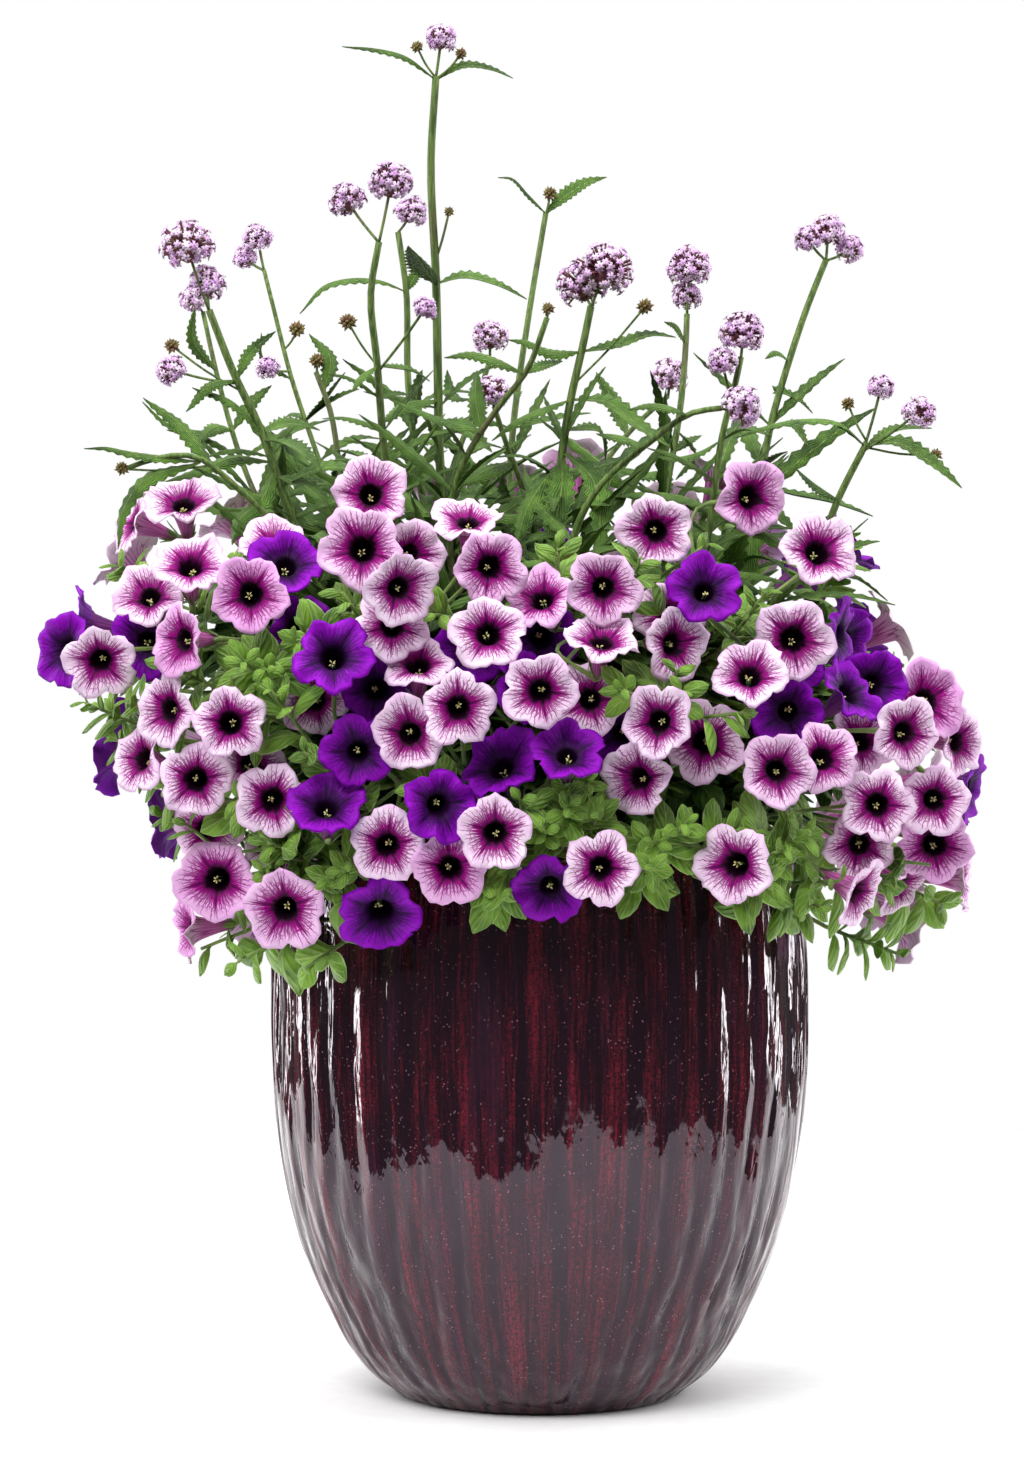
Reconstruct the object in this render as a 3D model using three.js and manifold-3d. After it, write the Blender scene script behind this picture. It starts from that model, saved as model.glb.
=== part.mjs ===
// Potted petunias with verbena: a ribbed glazed pot, its soil, six petunia plants round the edge with
// their blooms in sprays, and three verbena plants that stand up through the middle.
// Millimetres, +Z up, origin at the centre of the pot's underside, front towards -Y.
import * as THREE from "three";
import { mergeVertices } from "three/addons/utils/BufferGeometryUtils.js";
import Module from "manifold-3d";

const wasm = await Module();
wasm.setup();

// Driving dimensions.
const POT_HEIGHT = 385;
const POT_PROFILE = [[0, 103], [35, 136], [115, 171], [245, 188], [385, 182]];
const RIBS = 46;
const RIB_DEPTH = 3.2;
const SOIL_TOP = 352;
const STEM_GAP = 0.4;
const BLOOM_GAP = 1.5;
const TUBE_LENGTH = 1.4; // of a bloom, as a share of its radius
const PEDICEL_RADIUS = 1.2;
const KNOT_RADIUS = 5.6;
const PLANTS = 6;
const PINK_SPRAYS = 20;
const VIOLET_SPRAYS = 8;
const SPRAY_MOST = 7; // blooms in a spray
const BACK_BLOOMS = 58;
const BACK_SHOOTS = 16;
const CORE_LEAVES = 54;
const CORE_TOP = 522;
const CORE_STEPS = 4;

// The view that the front was measured in: one pixel is MM_PER_PX at the pot's axis.
const VIEW_DISTANCE = 3500;
const VIEW_HEIGHT = 620;
const VIEW_SIDE = -19;
const MM_PER_PX = 0.7;

const PINK = { color: 0xd9a8dc, roughness: 0.6, metalness: 0 };
const VIOLET = { color: 0x4a1a9a, roughness: 0.55, metalness: 0 };
const LEAF_GREEN = { color: 0x5a8a30, roughness: 0.6, metalness: 0 };
const STEM_GREEN = { color: 0x4c6b34, roughness: 0.65, metalness: 0 };
const LAVENDER = { color: 0xb48ad8, roughness: 0.7, metalness: 0 };
const GLAZE = { color: 0x3a0f16, roughness: 0.15, metalness: 0 };
const EARTH = { color: 0x2b1d14, roughness: 0.95, metalness: 0 };

// Seeded draws between 0 and 1.
function drawer(seed) {
  let state = seed >>> 0;
  return () => {
    state = (state + 0x6d2b79f5) >>> 0;
    let t = state;
    t = Math.imul(t ^ (t >>> 15), t | 1);
    t ^= t + Math.imul(t ^ (t >>> 7), t | 61);
    return ((t ^ (t >>> 14)) >>> 0) / 4294967296;
  };
}

// Vectors as plain arrays.
const add = (a, b) => [a[0] + b[0], a[1] + b[1], a[2] + b[2]];
const sub = (a, b) => [a[0] - b[0], a[1] - b[1], a[2] - b[2]];
const mul = (a, s) => [a[0] * s, a[1] * s, a[2] * s];
const dot = (a, b) => a[0] * b[0] + a[1] * b[1] + a[2] * b[2];
const cross = (a, b) => [a[1] * b[2] - a[2] * b[1], a[2] * b[0] - a[0] * b[2], a[0] * b[1] - a[1] * b[0]];
const size = (a) => Math.sqrt(dot(a, a));
const unit = (a) => mul(a, 1 / size(a));
const far = (a, b) => size(sub(a, b));
const mix = (a, b, t) => add(mul(a, 1 - t), mul(b, t));

// Two directions across a given one.
function across(f) {
  const up = Math.abs(f[2]) > 0.9 ? [0, 1, 0] : [0, 0, 1];
  const u = unit(cross(up, f));
  return [u, cross(f, u)];
}

// Turns direction u the way that takes direction a to direction b.
function carried(u, a, b) {
  const w = cross(a, b);
  const s = size(w);
  if (s < 1e-6) return u;
  const k = mul(w, 1 / s);
  const c = dot(a, b);
  return add(add(mul(u, c), mul(cross(k, u), s)), mul(k, dot(k, u) * (1 - c)));
}

// A value between the rows of a list of [x, value].
function along(rows, x) {
  if (x <= rows[0][0]) return rows[0][1];
  for (let i = 1; i < rows.length; i++) {
    if (x > rows[i][0]) continue;
    const t = (x - rows[i - 1][0]) / (rows[i][0] - rows[i - 1][0]);
    return rows[i - 1][1] + t * (rows[i][1] - rows[i - 1][1]);
  }
  return rows[rows.length - 1][1];
}

// A closed solid from points and triangles, turned to face out.
function solid(points, faces) {
  const make = (list) => new wasm.Manifold(new wasm.Mesh({
    numProp: 3,
    vertProperties: new Float32Array(points.flat()),
    triVerts: new Uint32Array(list.flat()),
  }));
  const made = make(faces);
  return made.volume() < 0 ? make(faces.map(([a, b, c]) => [a, c, b])) : made;
}

// Triangles between two rings of point numbers that may differ in count.
function bridge(a, b) {
  const faces = [];
  let i = 0;
  let j = 0;
  while (i < a.length || j < b.length) {
    const p = a[i % a.length];
    const q = b[j % b.length];
    if (j >= b.length || (i < a.length && (i + 1) / a.length <= (j + 1) / b.length)) {
      faces.push([p, a[(i + 1) % a.length], q]);
      i += 1;
    } else {
      faces.push([p, b[(j + 1) % b.length], q]);
      j += 1;
    }
  }
  return faces;
}

// Triangles that close the first and the last ring of a row.
const fan = (ring) => ring.slice(2).map((_, k) => [ring[0], ring[k + 2], ring[k + 1]]);
const lid = (ring) => ring.slice(2).map((_, k) => [ring[0], ring[k + 1], ring[k + 2]]);

// Gathers points and faces for one solid.
function drawing() {
  const points = [];
  const faces = [];
  return {
    ring(list) {
      const first = points.length;
      points.push(...list);
      return list.map((_, k) => first + k);
    },
    faces(list) {
      faces.push(...list);
    },
    point: (i) => points[i],
    done: () => solid(points, faces),
  };
}

// A stem through points with a radius at each, mitred at its bends.
function rod(path, radii, sides, start = null) {
  const d = drawing();
  const dirs = path.slice(1).map((p, k) => unit(sub(p, path[k])));
  let dir = dirs[0];
  let [u] = start ? [start] : across(dir);
  const rings = path.map((p, k) => {
    const before = dirs[Math.max(k - 1, 0)];
    const after = dirs[Math.min(k, dirs.length - 1)];
    const here = unit(add(before, after));
    u = unit(carried(u, dir, here));
    dir = here;
    const v = cross(dir, u);
    return d.ring(Array.from({ length: sides }, (_, i) => {
      const a = (i / sides) * 2 * Math.PI;
      return add(p, add(mul(u, Math.cos(a) * radii[k]), mul(v, Math.sin(a) * radii[k])));
    }));
  });
  rings.slice(1).forEach((r, k) => d.faces(bridge(rings[k], r)));
  d.faces(fan(rings[0]));
  d.faces(lid(rings[rings.length - 1]));
  return d.done();
}

// One solid from several, without sealed hollows and scraps.
function fuse(list) {
  const made = list.length === 1 ? list[0] : wasm.Manifold.union(list);
  const parts = made.decompose();
  const kept = parts.filter((m) => m.volume() > 20);
  return kept.length === parts.length ? made : wasm.Manifold.union(kept);
}

// The pixel (px, py) of the front view at depth y.
function seen(px, py, y) {
  const k = (MM_PER_PX * (VIEW_DISTANCE + y)) / VIEW_DISTANCE;
  return [VIEW_SIDE + (px - 512) * k, y, VIEW_HEIGHT + (504 - py) * k];
}

// The mound of petunias: how far the blooms' centres reach to the left, right and front at a height.
const LEFT_REACH = [[270, 215], [300, 235], [330, 255], [370, 262], [430, 292], [470, 325], [515, 342],
  [560, 326], [600, 295], [640, 215], [670, 120]];
const RIGHT_REACH = [[270, 215], [300, 240], [330, 285], [370, 300], [430, 305], [470, 296], [515, 240],
  [560, 225], [600, 225], [640, 155], [670, 80]];
const FRONT_REACH = [[270, 222], [300, 230], [330, 242], [370, 250], [430, 258], [470, 262], [515, 258],
  [560, 243], [600, 212], [640, 165], [670, 100]];

function mound(x, z) {
  const half = along(x < 0 ? LEFT_REACH : RIGHT_REACH, z);
  const share = Math.min(Math.abs(x) / half, 1);
  return along(FRONT_REACH, z) * Math.pow(1 - Math.pow(share, 2.2), 1 / 2.2);
}

// A point on the mound's front at a pixel of the front view.
function onMound(px, py) {
  let y = -200;
  for (let k = 0; k < 8; k++) {
    const p = seen(px, py, y);
    y = (y - mound(p[0], p[2])) / 2;
  }
  return seen(px, py, y);
}

// A point on the mound all round, by the angle from the right-hand side and the height.
function roundMound(angle, z) {
  const x = Math.cos(angle);
  const rx = along(x < 0 ? LEFT_REACH : RIGHT_REACH, z);
  const ry = along(FRONT_REACH, z);
  const c = Math.abs(Math.cos(angle)) / rx;
  const s = Math.abs(Math.sin(angle)) / ry;
  const r = Math.pow(Math.pow(c, 2.2) + Math.pow(s, 2.2), -1 / 2.2);
  return [r * Math.cos(angle), r * Math.sin(angle), z];
}

// The front blooms as seen: colour, pixel, width in pixels, turn to the right, tilt up, set back.
const FRONT_BLOOMS = [
  ["p", 190, 562, 84, 0, 45, 0], ["p", 250, 594, 82, 0, 5, 0], ["v", 62, 650, 84, -40, 5, 0],
  ["p", 100, 662, 56, 0, -10, 0], ["p", 177, 640, 66, -45, 0, 0], ["v", 333, 655, 86, 0, 25, 0],
  ["p", 163, 710, 78, -40, 0, 0], ["p", 230, 722, 74, 0, 10, 0], ["p", 137, 757, 72, -50, 15, 0],
  ["p", 195, 780, 80, -5, 0, 0], ["p", 215, 880, 90, -10, 0, 0], ["p", 370, 492, 82, 0, 15, 0],
  ["p", 362, 548, 92, 0, 10, 0], ["p", 392, 625, 66, 0, 10, 0], ["p", 468, 515, 74, 0, 60, 0],
  ["p", 490, 567, 76, 5, 0, 0], ["p", 603, 588, 76, 0, 0, 0], ["p", 540, 595, 66, -20, 40, 0],
  ["p", 488, 632, 72, 0, 20, 0], ["v", 525, 685, 74, 45, 10, 0], ["v", 376, 690, 76, 0, 0, 0],
  ["p", 603, 635, 66, 10, 55, 0], ["p", 590, 698, 68, 0, 10, 0], ["p", 458, 708, 78, 0, 0, 0],
  ["p", 408, 734, 82, -10, 0, 0], ["p", 322, 700, 74, -15, 0, 0], ["p", 655, 531, 80, -5, 0, 0],
  ["v", 704, 588, 74, 0, 25, 0], ["p", 753, 497, 80, 25, 5, 0], ["p", 820, 549, 86, 15, 25, 0],
  ["p", 677, 645, 70, 35, 0, 0], ["p", 793, 640, 88, 0, 0, 0], ["p", 750, 672, 80, 0, 35, 0],
  ["v", 326, 802, 86, 0, 45, 0], ["p", 387, 845, 76, 0, 0, 0], ["v", 440, 805, 76, 15, 0, 0],
  ["v", 498, 762, 92, -25, 40, 0], ["p", 495, 833, 78, 0, 0, 0], ["v", 567, 750, 76, 0, 40, 0],
  ["p", 601, 868, 76, 0, 0, 0], ["p", 658, 722, 80, -10, 0, 0], ["p", 705, 742, 90, 0, 0, 0],
  ["p", 635, 780, 78, -30, -5, 0], ["p", 778, 771, 78, 5, 0, 0], ["p", 908, 733, 74, 25, 0, 0],
  ["p", 930, 700, 86, 25, 10, 0], ["p", 963, 742, 66, 50, 0, 0], ["v", 975, 790, 66, 70, -15, 0],
  ["p", 878, 805, 76, 0, 0, 0], ["p", 936, 800, 72, 10, 0, 0], ["p", 936, 845, 86, 5, 0, 0],
  ["p", 862, 895, 70, 60, -25, 0], ["p", 968, 878, 60, 80, 0, 0], ["p", 733, 865, 88, -25, 0, 0],
  ["p", 284, 910, 88, -5, -5, 0], ["p", 184, 930, 60, -75, -5, 0], ["v", 380, 917, 96, 0, -30, 0],
  ["v", 853, 690, 72, 50, 35, 0], ["p", 183, 498, 80, -5, 55, 0], ["p", 130, 520, 55, -75, 20, 0],
  ["v", 285, 562, 84, 0, 30, 12], ["p", 275, 540, 80, 0, 50, 20], ["p", 148, 592, 76, -10, 35, 12],
  ["v", 135, 642, 84, -10, 0, 16], ["v", 300, 632, 80, 30, 0, 16], ["p", 255, 762, 66, 30, 20, 14],
  ["p", 272, 800, 60, 0, 0, 18], ["p", 283, 838, 86, 0, 15, 14], ["p", 207, 832, 70, -10, -20, 14],
  ["p", 415, 555, 60, 35, 0, 16], ["p", 412, 590, 80, 25, -10, 14], ["p", 418, 660, 66, 0, 50, 12],
  ["v", 542, 648, 70, 10, 0, 16], ["v", 470, 660, 64, -10, 0, 16], ["p", 556, 676, 58, 0, 0, 20],
  ["p", 670, 612, 80, 0, 20, 16], ["v", 845, 635, 60, 70, 0, 12], ["v", 845, 657, 55, 60, -10, 16],
  ["v", 875, 685, 56, 20, 0, 18], ["v", 358, 752, 78, 0, 0, 16], ["p", 450, 868, 60, 0, 0, 16],
  ["v", 612, 733, 66, 0, 0, 16], ["v", 550, 890, 70, 0, -20, 14], ["p", 825, 757, 66, 20, 15, 14],
  ["v", 788, 712, 66, 0, 0, 16], ["v", 806, 683, 70, 0, 0, 20], ["p", 863, 738, 66, 20, 20, 16],
  ["p", 860, 848, 74, 0, -20, 16], ["p", 905, 890, 56, 60, -35, 14],
];

// Verbena stems as seen: crown, depth at the top, thickness, and pixels from low to high.
const STEMS = [
  [2, -10, 4.6, [[440, 465], [438, 380], [436, 280], [431, 160], [436, 76]]],
  [2, -75, 4.2, [[388, 480], [377, 362], [371, 290], [379, 242]]],
  [2, 45, 3.8, [[418, 470], [408, 380], [406, 288], [398, 232]]],
  [2, -115, 3.6, [[470, 450], [500, 405], [526, 372], [547, 318]]],
  [3, -40, 4.6, [[560, 470], [571, 398], [583, 345], [591, 306]]],
  [2, 150, 3.6, [[512, 440], [528, 320], [546, 212]]],
  [3, -125, 3.8, [[610, 475], [650, 442], [695, 412], [722, 408]]],
  [3, 95, 3.8, [[668, 480], [680, 410], [686, 340], [687, 314]]],
  [3, -70, 3.8, [[712, 510], [723, 432], [735, 385], [741, 357]]],
  [3, 60, 4.0, [[758, 490], [772, 420], [790, 358], [808, 305], [826, 260]]],
  [3, -60, 4.2, [[815, 555], [840, 495], [867, 442]]],
  [1, -50, 4.6, [[282, 490], [260, 428], [235, 376], [209, 310]]],
  [1, 90, 3.4, [[245, 470], [217, 375], [203, 312]]],
  [1, 140, 3.6, [[312, 440], [292, 380], [274, 310], [264, 270]]],
  [1, -90, 3.4, [[240, 490], [192, 456], [150, 460], [128, 468]]],
  [2, 110, 3.4, [[452, 470], [470, 420], [490, 360]]],
  [3, 130, 3.4, [[600, 470], [636, 425], [668, 396]]],
  [1, 40, 3.4, [[340, 470], [330, 410], [316, 372]]],
  [2, -40, 3.2, [[520, 480], [505, 440], [494, 406]]],
];
const CROWNS = { 1: [-48, -14, SOIL_TOP], 2: [4, 26, SOIL_TOP], 3: [52, -10, SOIL_TOP] };

// Heads of small flowers, on the stem they belong to: stem, then for each head its pixel and width.
const HEADS = [
  [0, [[441, 40, 31]]],
  [1, [[391, 184, 44], [347, 201, 36]]],
  [2, [[411, 213, 34]]],
  [11, [[187, 247, 52], [207, 285, 38]]],
  [12, [[196, 299, 32]]],
  [13, [[258, 239, 32], [246, 258, 26]]],
  [4, [[604, 272, 56], [583, 286, 50]]],
  [15, [[490, 338, 38]]],
  [18, [[492, 393, 34]]],
  [7, [[689, 269, 46], [687, 297, 32]]],
  [16, [[670, 378, 38]]],
  [8, [[743, 334, 46]]],
  [6, [[741, 408, 42]]],
  [9, [[828, 233, 36], [848, 250, 30], [808, 240, 28]]],
];

// Heads that stand on a side stalk: stem, the pixel row where the stalk leaves it, the head.
const SIDE_HEADS = [
  [8, 398, [722, 362, 30]],
  [10, 446, [881, 388, 27]],
  [10, 452, [918, 413, 34]],
  [11, 384, [173, 371, 30]],
  [1, 372, [425, 309, 24]],
  [13, 372, [268, 368, 24]],
];

// Buds on side stalks: stem, the pixel row where the stalk leaves it, the bud.
const BUDS = [
  [0, 78, [417, 47, 14]], [0, 79, [461, 54, 14]], [0, 262, [449, 212, 12]], [1, 366, [348, 322, 19]],
  [3, 320, [548, 309, 14]], [4, 384, [645, 307, 18]], [5, 216, [550, 194, 17]], [11, 392, [172, 346, 17]],
  [17, 374, [317, 361, 18]], [9, 424, [752, 470, 18]], [10, 440, [848, 404, 15]],
  [10, 447, [936, 455, 14]], [14, 466, [122, 469, 15]], [13, 350, [297, 330, 20]],
];

// Verbena leaves: stem, the pixel row of the base, depth from base to tip, half width, pixels to the tip.
const LONG_LEAVES = [
  [0, 80, -14, 3.4, [[405, 57], [372, 49], [342, 47]]], [0, 80, 14, 3.4, [[465, 66], [490, 69], [513, 78]]],
  [0, 284, -48, 9, [[422, 264], [408, 246]]], [0, 284, 16, 5, [[462, 277], [492, 283], [527, 299]]],
  [1, 366, 12, 4, [[395, 368], [412, 371], [430, 381]]], [1, 366, -20, 4, [[362, 376], [352, 392]]],
  [2, 292, -20, 5, [[380, 281], [352, 279], [325, 286], [300, 314]]],
  [2, 292, 12, 3.5, [[415, 276], [420, 264]]],
  [3, 432, -24, 6.5, [[445, 420], [415, 409], [392, 400]]], [3, 432, 14, 5, [[476, 400], [477, 370]]],
  [3, 374, -16, 5, [[500, 362], [470, 354], [444, 358]]], [3, 374, 14, 4, [[545, 366], [563, 361]]],
  [4, 400, -22, 5.5, [[545, 408], [512, 424], [492, 441]]],
  [4, 400, -34, 6.5, [[605, 402], [640, 427], [671, 448]]],
  [4, 352, 16, 5, [[620, 345], [650, 335], [676, 337]]],
  [4, 352, -16, 5, [[550, 352], [526, 342], [508, 340]]],
  [4, 430, 20, 5, [[600, 432], [606, 460]]], [5, 214, -12, 4, [[528, 195], [510, 178], [498, 178]]],
  [5, 214, 14, 5, [[565, 197], [585, 184], [607, 177]]],
  [6, 416, -18, 4.5, [[672, 408], [650, 405], [628, 410]]],
  [7, 344, -10, 3.6, [[676, 326], [664, 322]]], [7, 430, 16, 5, [[692, 452], [676, 480]]],
  [8, 440, -16, 5, [[745, 430], [772, 436]]], [8, 440, 14, 5, [[700, 452], [676, 458], [655, 456]]],
  [9, 362, -12, 3.4, [[777, 352], [765, 359]]], [9, 396, 14, 4, [[775, 391], [795, 398], [813, 413]]],
  [9, 430, -20, 5, [[790, 424], [808, 446]]],
  [10, 446, -34, 6.5, [[838, 423], [800, 420], [765, 427], [736, 438]]],
  [10, 446, -14, 6.5, [[896, 443], [930, 462], [962, 488]]], [10, 446, 18, 4, [[895, 430], [932, 428]]],
  [11, 380, 14, 4, [[252, 352], [276, 331]]], [11, 380, -20, 4.5, [[212, 384], [186, 412]]],
  [11, 432, -18, 6, [[232, 402], [192, 388]]], [11, 432, 20, 5.5, [[292, 424], [320, 430]]],
  [11, 440, -38, 7, [[292, 446], [322, 470]]], [12, 372, -14, 3.6, [[193, 340], [195, 306]]],
  [14, 462, -12, 4.2, [[125, 452], [106, 448], [84, 449]]], [14, 474, 16, 5, [[180, 425], [143, 398]]],
  [13, 380, -16, 4.2, [[262, 356], [261, 333]]], [17, 392, 18, 5, [[330, 358], [309, 334]]],
  [15, 400, 22, 5, [[455, 396], [447, 370]]], [16, 436, 20, 5, [[618, 410], [596, 372]]],
];

// Tips of leafy petunia shoots seen among the front blooms.
const FRONT_SHOOTS = [
  [570, 806], [338, 870], [440, 885], [520, 868], [806, 838], [690, 822], [655, 868], [232, 662], [262, 690],
  [88, 708], [188, 826], [238, 962], [306, 968], [830, 905], [548, 868], [748, 712], [686, 668], [868, 672],
  [706, 545], [432, 612], [152, 560], [640, 560], [330, 590], [910, 880], [560, 545], [780, 590], [300, 752],
  [520, 800], [690, 690], [420, 780],
];

const TURN = Math.PI / 180;

// The bushy cores of the petunia plants: a ring round the open middle, half sizes across and deep.
const CORE_OUTSIDE = [[353, 138, 138], [392, 154, 150], [440, 196, 160], [490, 206, 154], [CORE_TOP, 192, 140]];
const CORE_INSIDE = [[353, 84, 66], [CORE_TOP, 160, 106]];

// The distance from the axis of the core's outside or inside at an angle and height.
function coreReach(rows, angle, z) {
  const rx = along(rows.map(([h, x]) => [h, x]), z);
  const ry = along(rows.map(([h, , y]) => [h, y]), z);
  const c = Math.cos(angle) / rx;
  const s = Math.sin(angle) / ry;
  return 1 / Math.sqrt(c * c + s * s);
}

// Whether a point is in a plant's core or within a margin of it.
function inCore(p, margin) {
  if (p[2] < 353 - margin || p[2] > CORE_TOP + margin) return false;
  const angle = Math.atan2(p[1], p[0]);
  const r = Math.sqrt(p[0] * p[0] + p[1] * p[1]);
  const within = coreReach(CORE_INSIDE, angle, p[2]);
  return r < 1.04 * coreReach(CORE_OUTSIDE, angle, p[2]) + margin && r > within - margin;
}

function facing(yaw, pitch) {
  const c = Math.cos(pitch * TURN);
  return [Math.sin(yaw * TURN) * c, -Math.cos(yaw * TURN) * c, Math.sin(pitch * TURN)];
}

// The tube's radius at a depth behind the middle of a bloom's limb, both as shares of its radius.
const tubeShare = (d) => 0.34 - (0.25 * Math.min(Math.max(d - 0.3, 0), 1.1)) / 1.1;

// The side of bloom b that a point is on: -1 in front, 1 behind, 0 touching, null beyond its rim.
function sideOf(b, p, margin) {
  const v = sub(p, b.centre);
  const d = -dot(v, b.face);
  const r = size(add(v, mul(b.face, d)));
  if (r > b.radius + margin) return null;
  const sheet = 0.25 * b.radius * Math.min((b.radius - Math.min(r, b.radius)) / (0.73 * b.radius), 1);
  if (d < sheet - margin - 0.05 * b.radius) return -1;
  if (d > TUBE_LENGTH * b.radius + 5 + margin) return 1;
  if (d > sheet + 2.5 + margin && r > tubeShare(d / b.radius) * b.radius + margin) return 1;
  return 0;
}

// Points spread over a bloom's limb and tube, and two behind the tube that leave room for the stalk:
// how many, how far out and how deep, as shares of its radius.
const SPOT_RINGS = [
  [16, 1, 0], [8, 0.65, 0.12], [5, 0.33, 0.38], [4, 0.22, 0.85], [3, 0.12, 1.35], [1, 0, 1.6], [1, 0, 1.78],
];
function spots(b) {
  const [u, v] = across(b.face);
  const list = [];
  for (const [count, r, d] of SPOT_RINGS) {
    for (let i = 0; i < count; i++) {
      const a = (i / count) * 2 * Math.PI;
      const out = add(mul(u, Math.cos(a) * r * b.radius), mul(v, Math.sin(a) * r * b.radius));
      list.push(add(add(b.centre, out), mul(b.face, -d * b.radius)));
    }
  }
  return list;
}

// Whether a group of points lies wholly on one side of a bloom.
function oneSide(b, points, margin) {
  let side = null;
  for (const p of points) {
    const s = sideOf(b, p, margin);
    if (s === null) continue;
    if (s === 0 || (side !== null && s !== side)) return false;
    side = s;
  }
  return true;
}

// Whether a stem's points go past a bloom without passing through it.
function passes(b, points, margin) {
  let side = null;
  for (const p of points) {
    const s = sideOf(b, p, margin);
    if (s === 0 || (s !== null && side !== null && s !== side)) return false;
    side = s;
  }
  return true;
}

const heart = (b) => add(b.centre, mul(b.face, -0.5 * b.radius));

function apart(a, b) {
  if (far(heart(a), heart(b)) > 1.2 * (a.radius + b.radius)) return true;
  return oneSide(b, a.spots, BLOOM_GAP) && oneSide(a, b.spots, BLOOM_GAP);
}

// Points along a path, at most a step apart.
function paced(path, step) {
  const list = [path[0]];
  for (let k = 1; k < path.length; k++) {
    const n = Math.max(1, Math.ceil(far(path[k - 1], path[k]) / step));
    for (let i = 1; i <= n; i++) list.push(mix(path[k - 1], path[k], i / n));
  }
  return list;
}

// A verbena stem's path in space: from its crown, then through its pixels. Where it comes out of the
// plants' cores it keeps inside their open middle.
function stemPath([crown, depth, , pixels], index) {
  const turn = index * 2.4;
  const foot = add(CROWNS[crown], [8 * Math.cos(turn), 8 * Math.sin(turn), 8]);
  const top = seen(0, pixels[pixels.length - 1][1], depth)[2];
  const points = pixels.map(([px, py]) => {
    const z = seen(px, py, 0)[2];
    const share = (z - foot[2]) / (top - foot[2]);
    return seen(px, py, foot[1] + (depth - foot[1]) * Math.pow(share, 1.15));
  });
  const path = [foot, ...points];
  const above = path.findIndex((p) => p[2] > 530);
  const low = path[above - 1];
  const gate = mix(low, path[above], (530 - low[2]) / (path[above][2] - low[2]));
  const reach = coreReach(CORE_INSIDE, Math.atan2(gate[1], gate[0]), CORE_TOP) - 8;
  const wide = Math.hypot(gate[0], gate[1]);
  if (wide < reach - 10) return path;
  const narrow = Math.min(reach / wide, 1);
  return [foot, [gate[0] * narrow, gate[1] * narrow, 530], ...path.slice(above)];
}
const stems = STEMS.map((s, k) => ({ crown: s[0], radius: s[2] / 2, path: stemPath(s, k) }));
stems.forEach((s) => {
  s.points = paced(s.path, 6);
});

// Blooms are set one after another, the foremost first. One that would touch a bloom or a stem is
// moved back along the line of sight, or inwards, until it is clear.
const blooms = [];
const SHIFTS = [
  [0, 0], [7, 0], [-7, 0], [0, 7], [0, -7], [10, 10], [-10, 10], [10, -10], [-10, -10], [15, 0], [-15, 0],
  [0, 15], [0, -15], [22, 0], [-22, 0], [0, 22], [0, -22], [18, 18], [-18, 18], [18, -18], [-18, -18],
];
function setBloom(colour, start, face, radius, back, set, spin) {
  const tries = [];
  for (let t = 0; t <= 72; t += 4) tries.push(set + t);
  for (let t = 4; t <= 28; t += 4) tries.push(set - t);
  for (const [du, dv] of SHIFTS) {
    const [u, v] = across(face);
    const from = add(start, add(mul(u, du), mul(v, dv)));
    for (const t of tries) {
      const b = { colour, centre: add(from, mul(back, t)), face, radius, spin };
      b.spots = spots(b);
      if (!potClear(b)) continue;
      if (!stems.every((s) => passes(b, s.points, s.radius + 1.5))) continue;
      if (!blooms.every((o) => apart(o, b))) continue;
      blooms.push(b);
      return true;
    }
  }
  return false;
}

// Whether a bloom keeps off the pot's wall and rim and the plants' cores.
function potClear(b) {
  return b.spots.every((p) => {
    if (inCore(p, 5)) return false;
    if (p[2] > POT_HEIGHT + 5) return true;
    return Math.sqrt(p[0] * p[0] + p[1] * p[1]) > along(POT_PROFILE, p[2]) + 5;
  });
}

const draw = drawer(71);
FRONT_BLOOMS.forEach(([colour, px, py, wide, yaw, pitch, set]) => {
  const start = onMound(px, py);
  const radius = (wide * MM_PER_PX * (VIEW_DISTANCE + start[1])) / VIEW_DISTANCE / 2;
  const full = Math.min(Math.max(radius, 26), 32);
  const back = unit(sub(start, [VIEW_SIDE, -VIEW_DISTANCE, VIEW_HEIGHT]));
  const spin = draw() * 6.28;
  const face = facing(yaw, pitch);
  [1, 0.85, 0.72].some((share) => setBloom(colour, start, face, full * share, back, set, spin));
});

// The blooms of the sides and back, each the emptiest of some drawn places.
const VIOLET_PATCHES = [[25, 600], [60, 420], [100, 560], [128, 390], [160, 520], [172, 400]];
for (let made = 0, turn = 0; made < BACK_BLOOMS && turn < 400; turn++) {
  let best = null;
  for (let i = 0; i < 14; i++) {
    const angle = (4 + 172 * draw()) * TURN;
    const z = 318 + 330 * Math.pow(draw(), 0.9);
    const p = roundMound(angle, z);
    const room = Math.min(...blooms.map((b) => far(b.centre, p)));
    if (!best || room > best.room) best = { room, p, angle, z };
  }
  const tilt = along([[318, -12], [420, 5], [520, 15], [600, 38], [650, 62]], best.z) + (draw() - 0.5) * 26;
  const yaw = 90 + best.angle / TURN + (draw() - 0.5) * 30;
  const face = facing(yaw, tilt);
  const violet = VIOLET_PATCHES.some(([a, z]) => far(roundMound(a * TURN, z), best.p) < 72);
  const inward = unit([-Math.cos(best.angle), -Math.sin(best.angle), 0]);
  const radius = 27.5 + 4 * draw();
  if (setBloom(violet ? "v" : "p", best.p, face, radius, inward, 0, draw() * 6.28)) made += 1;
}

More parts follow.
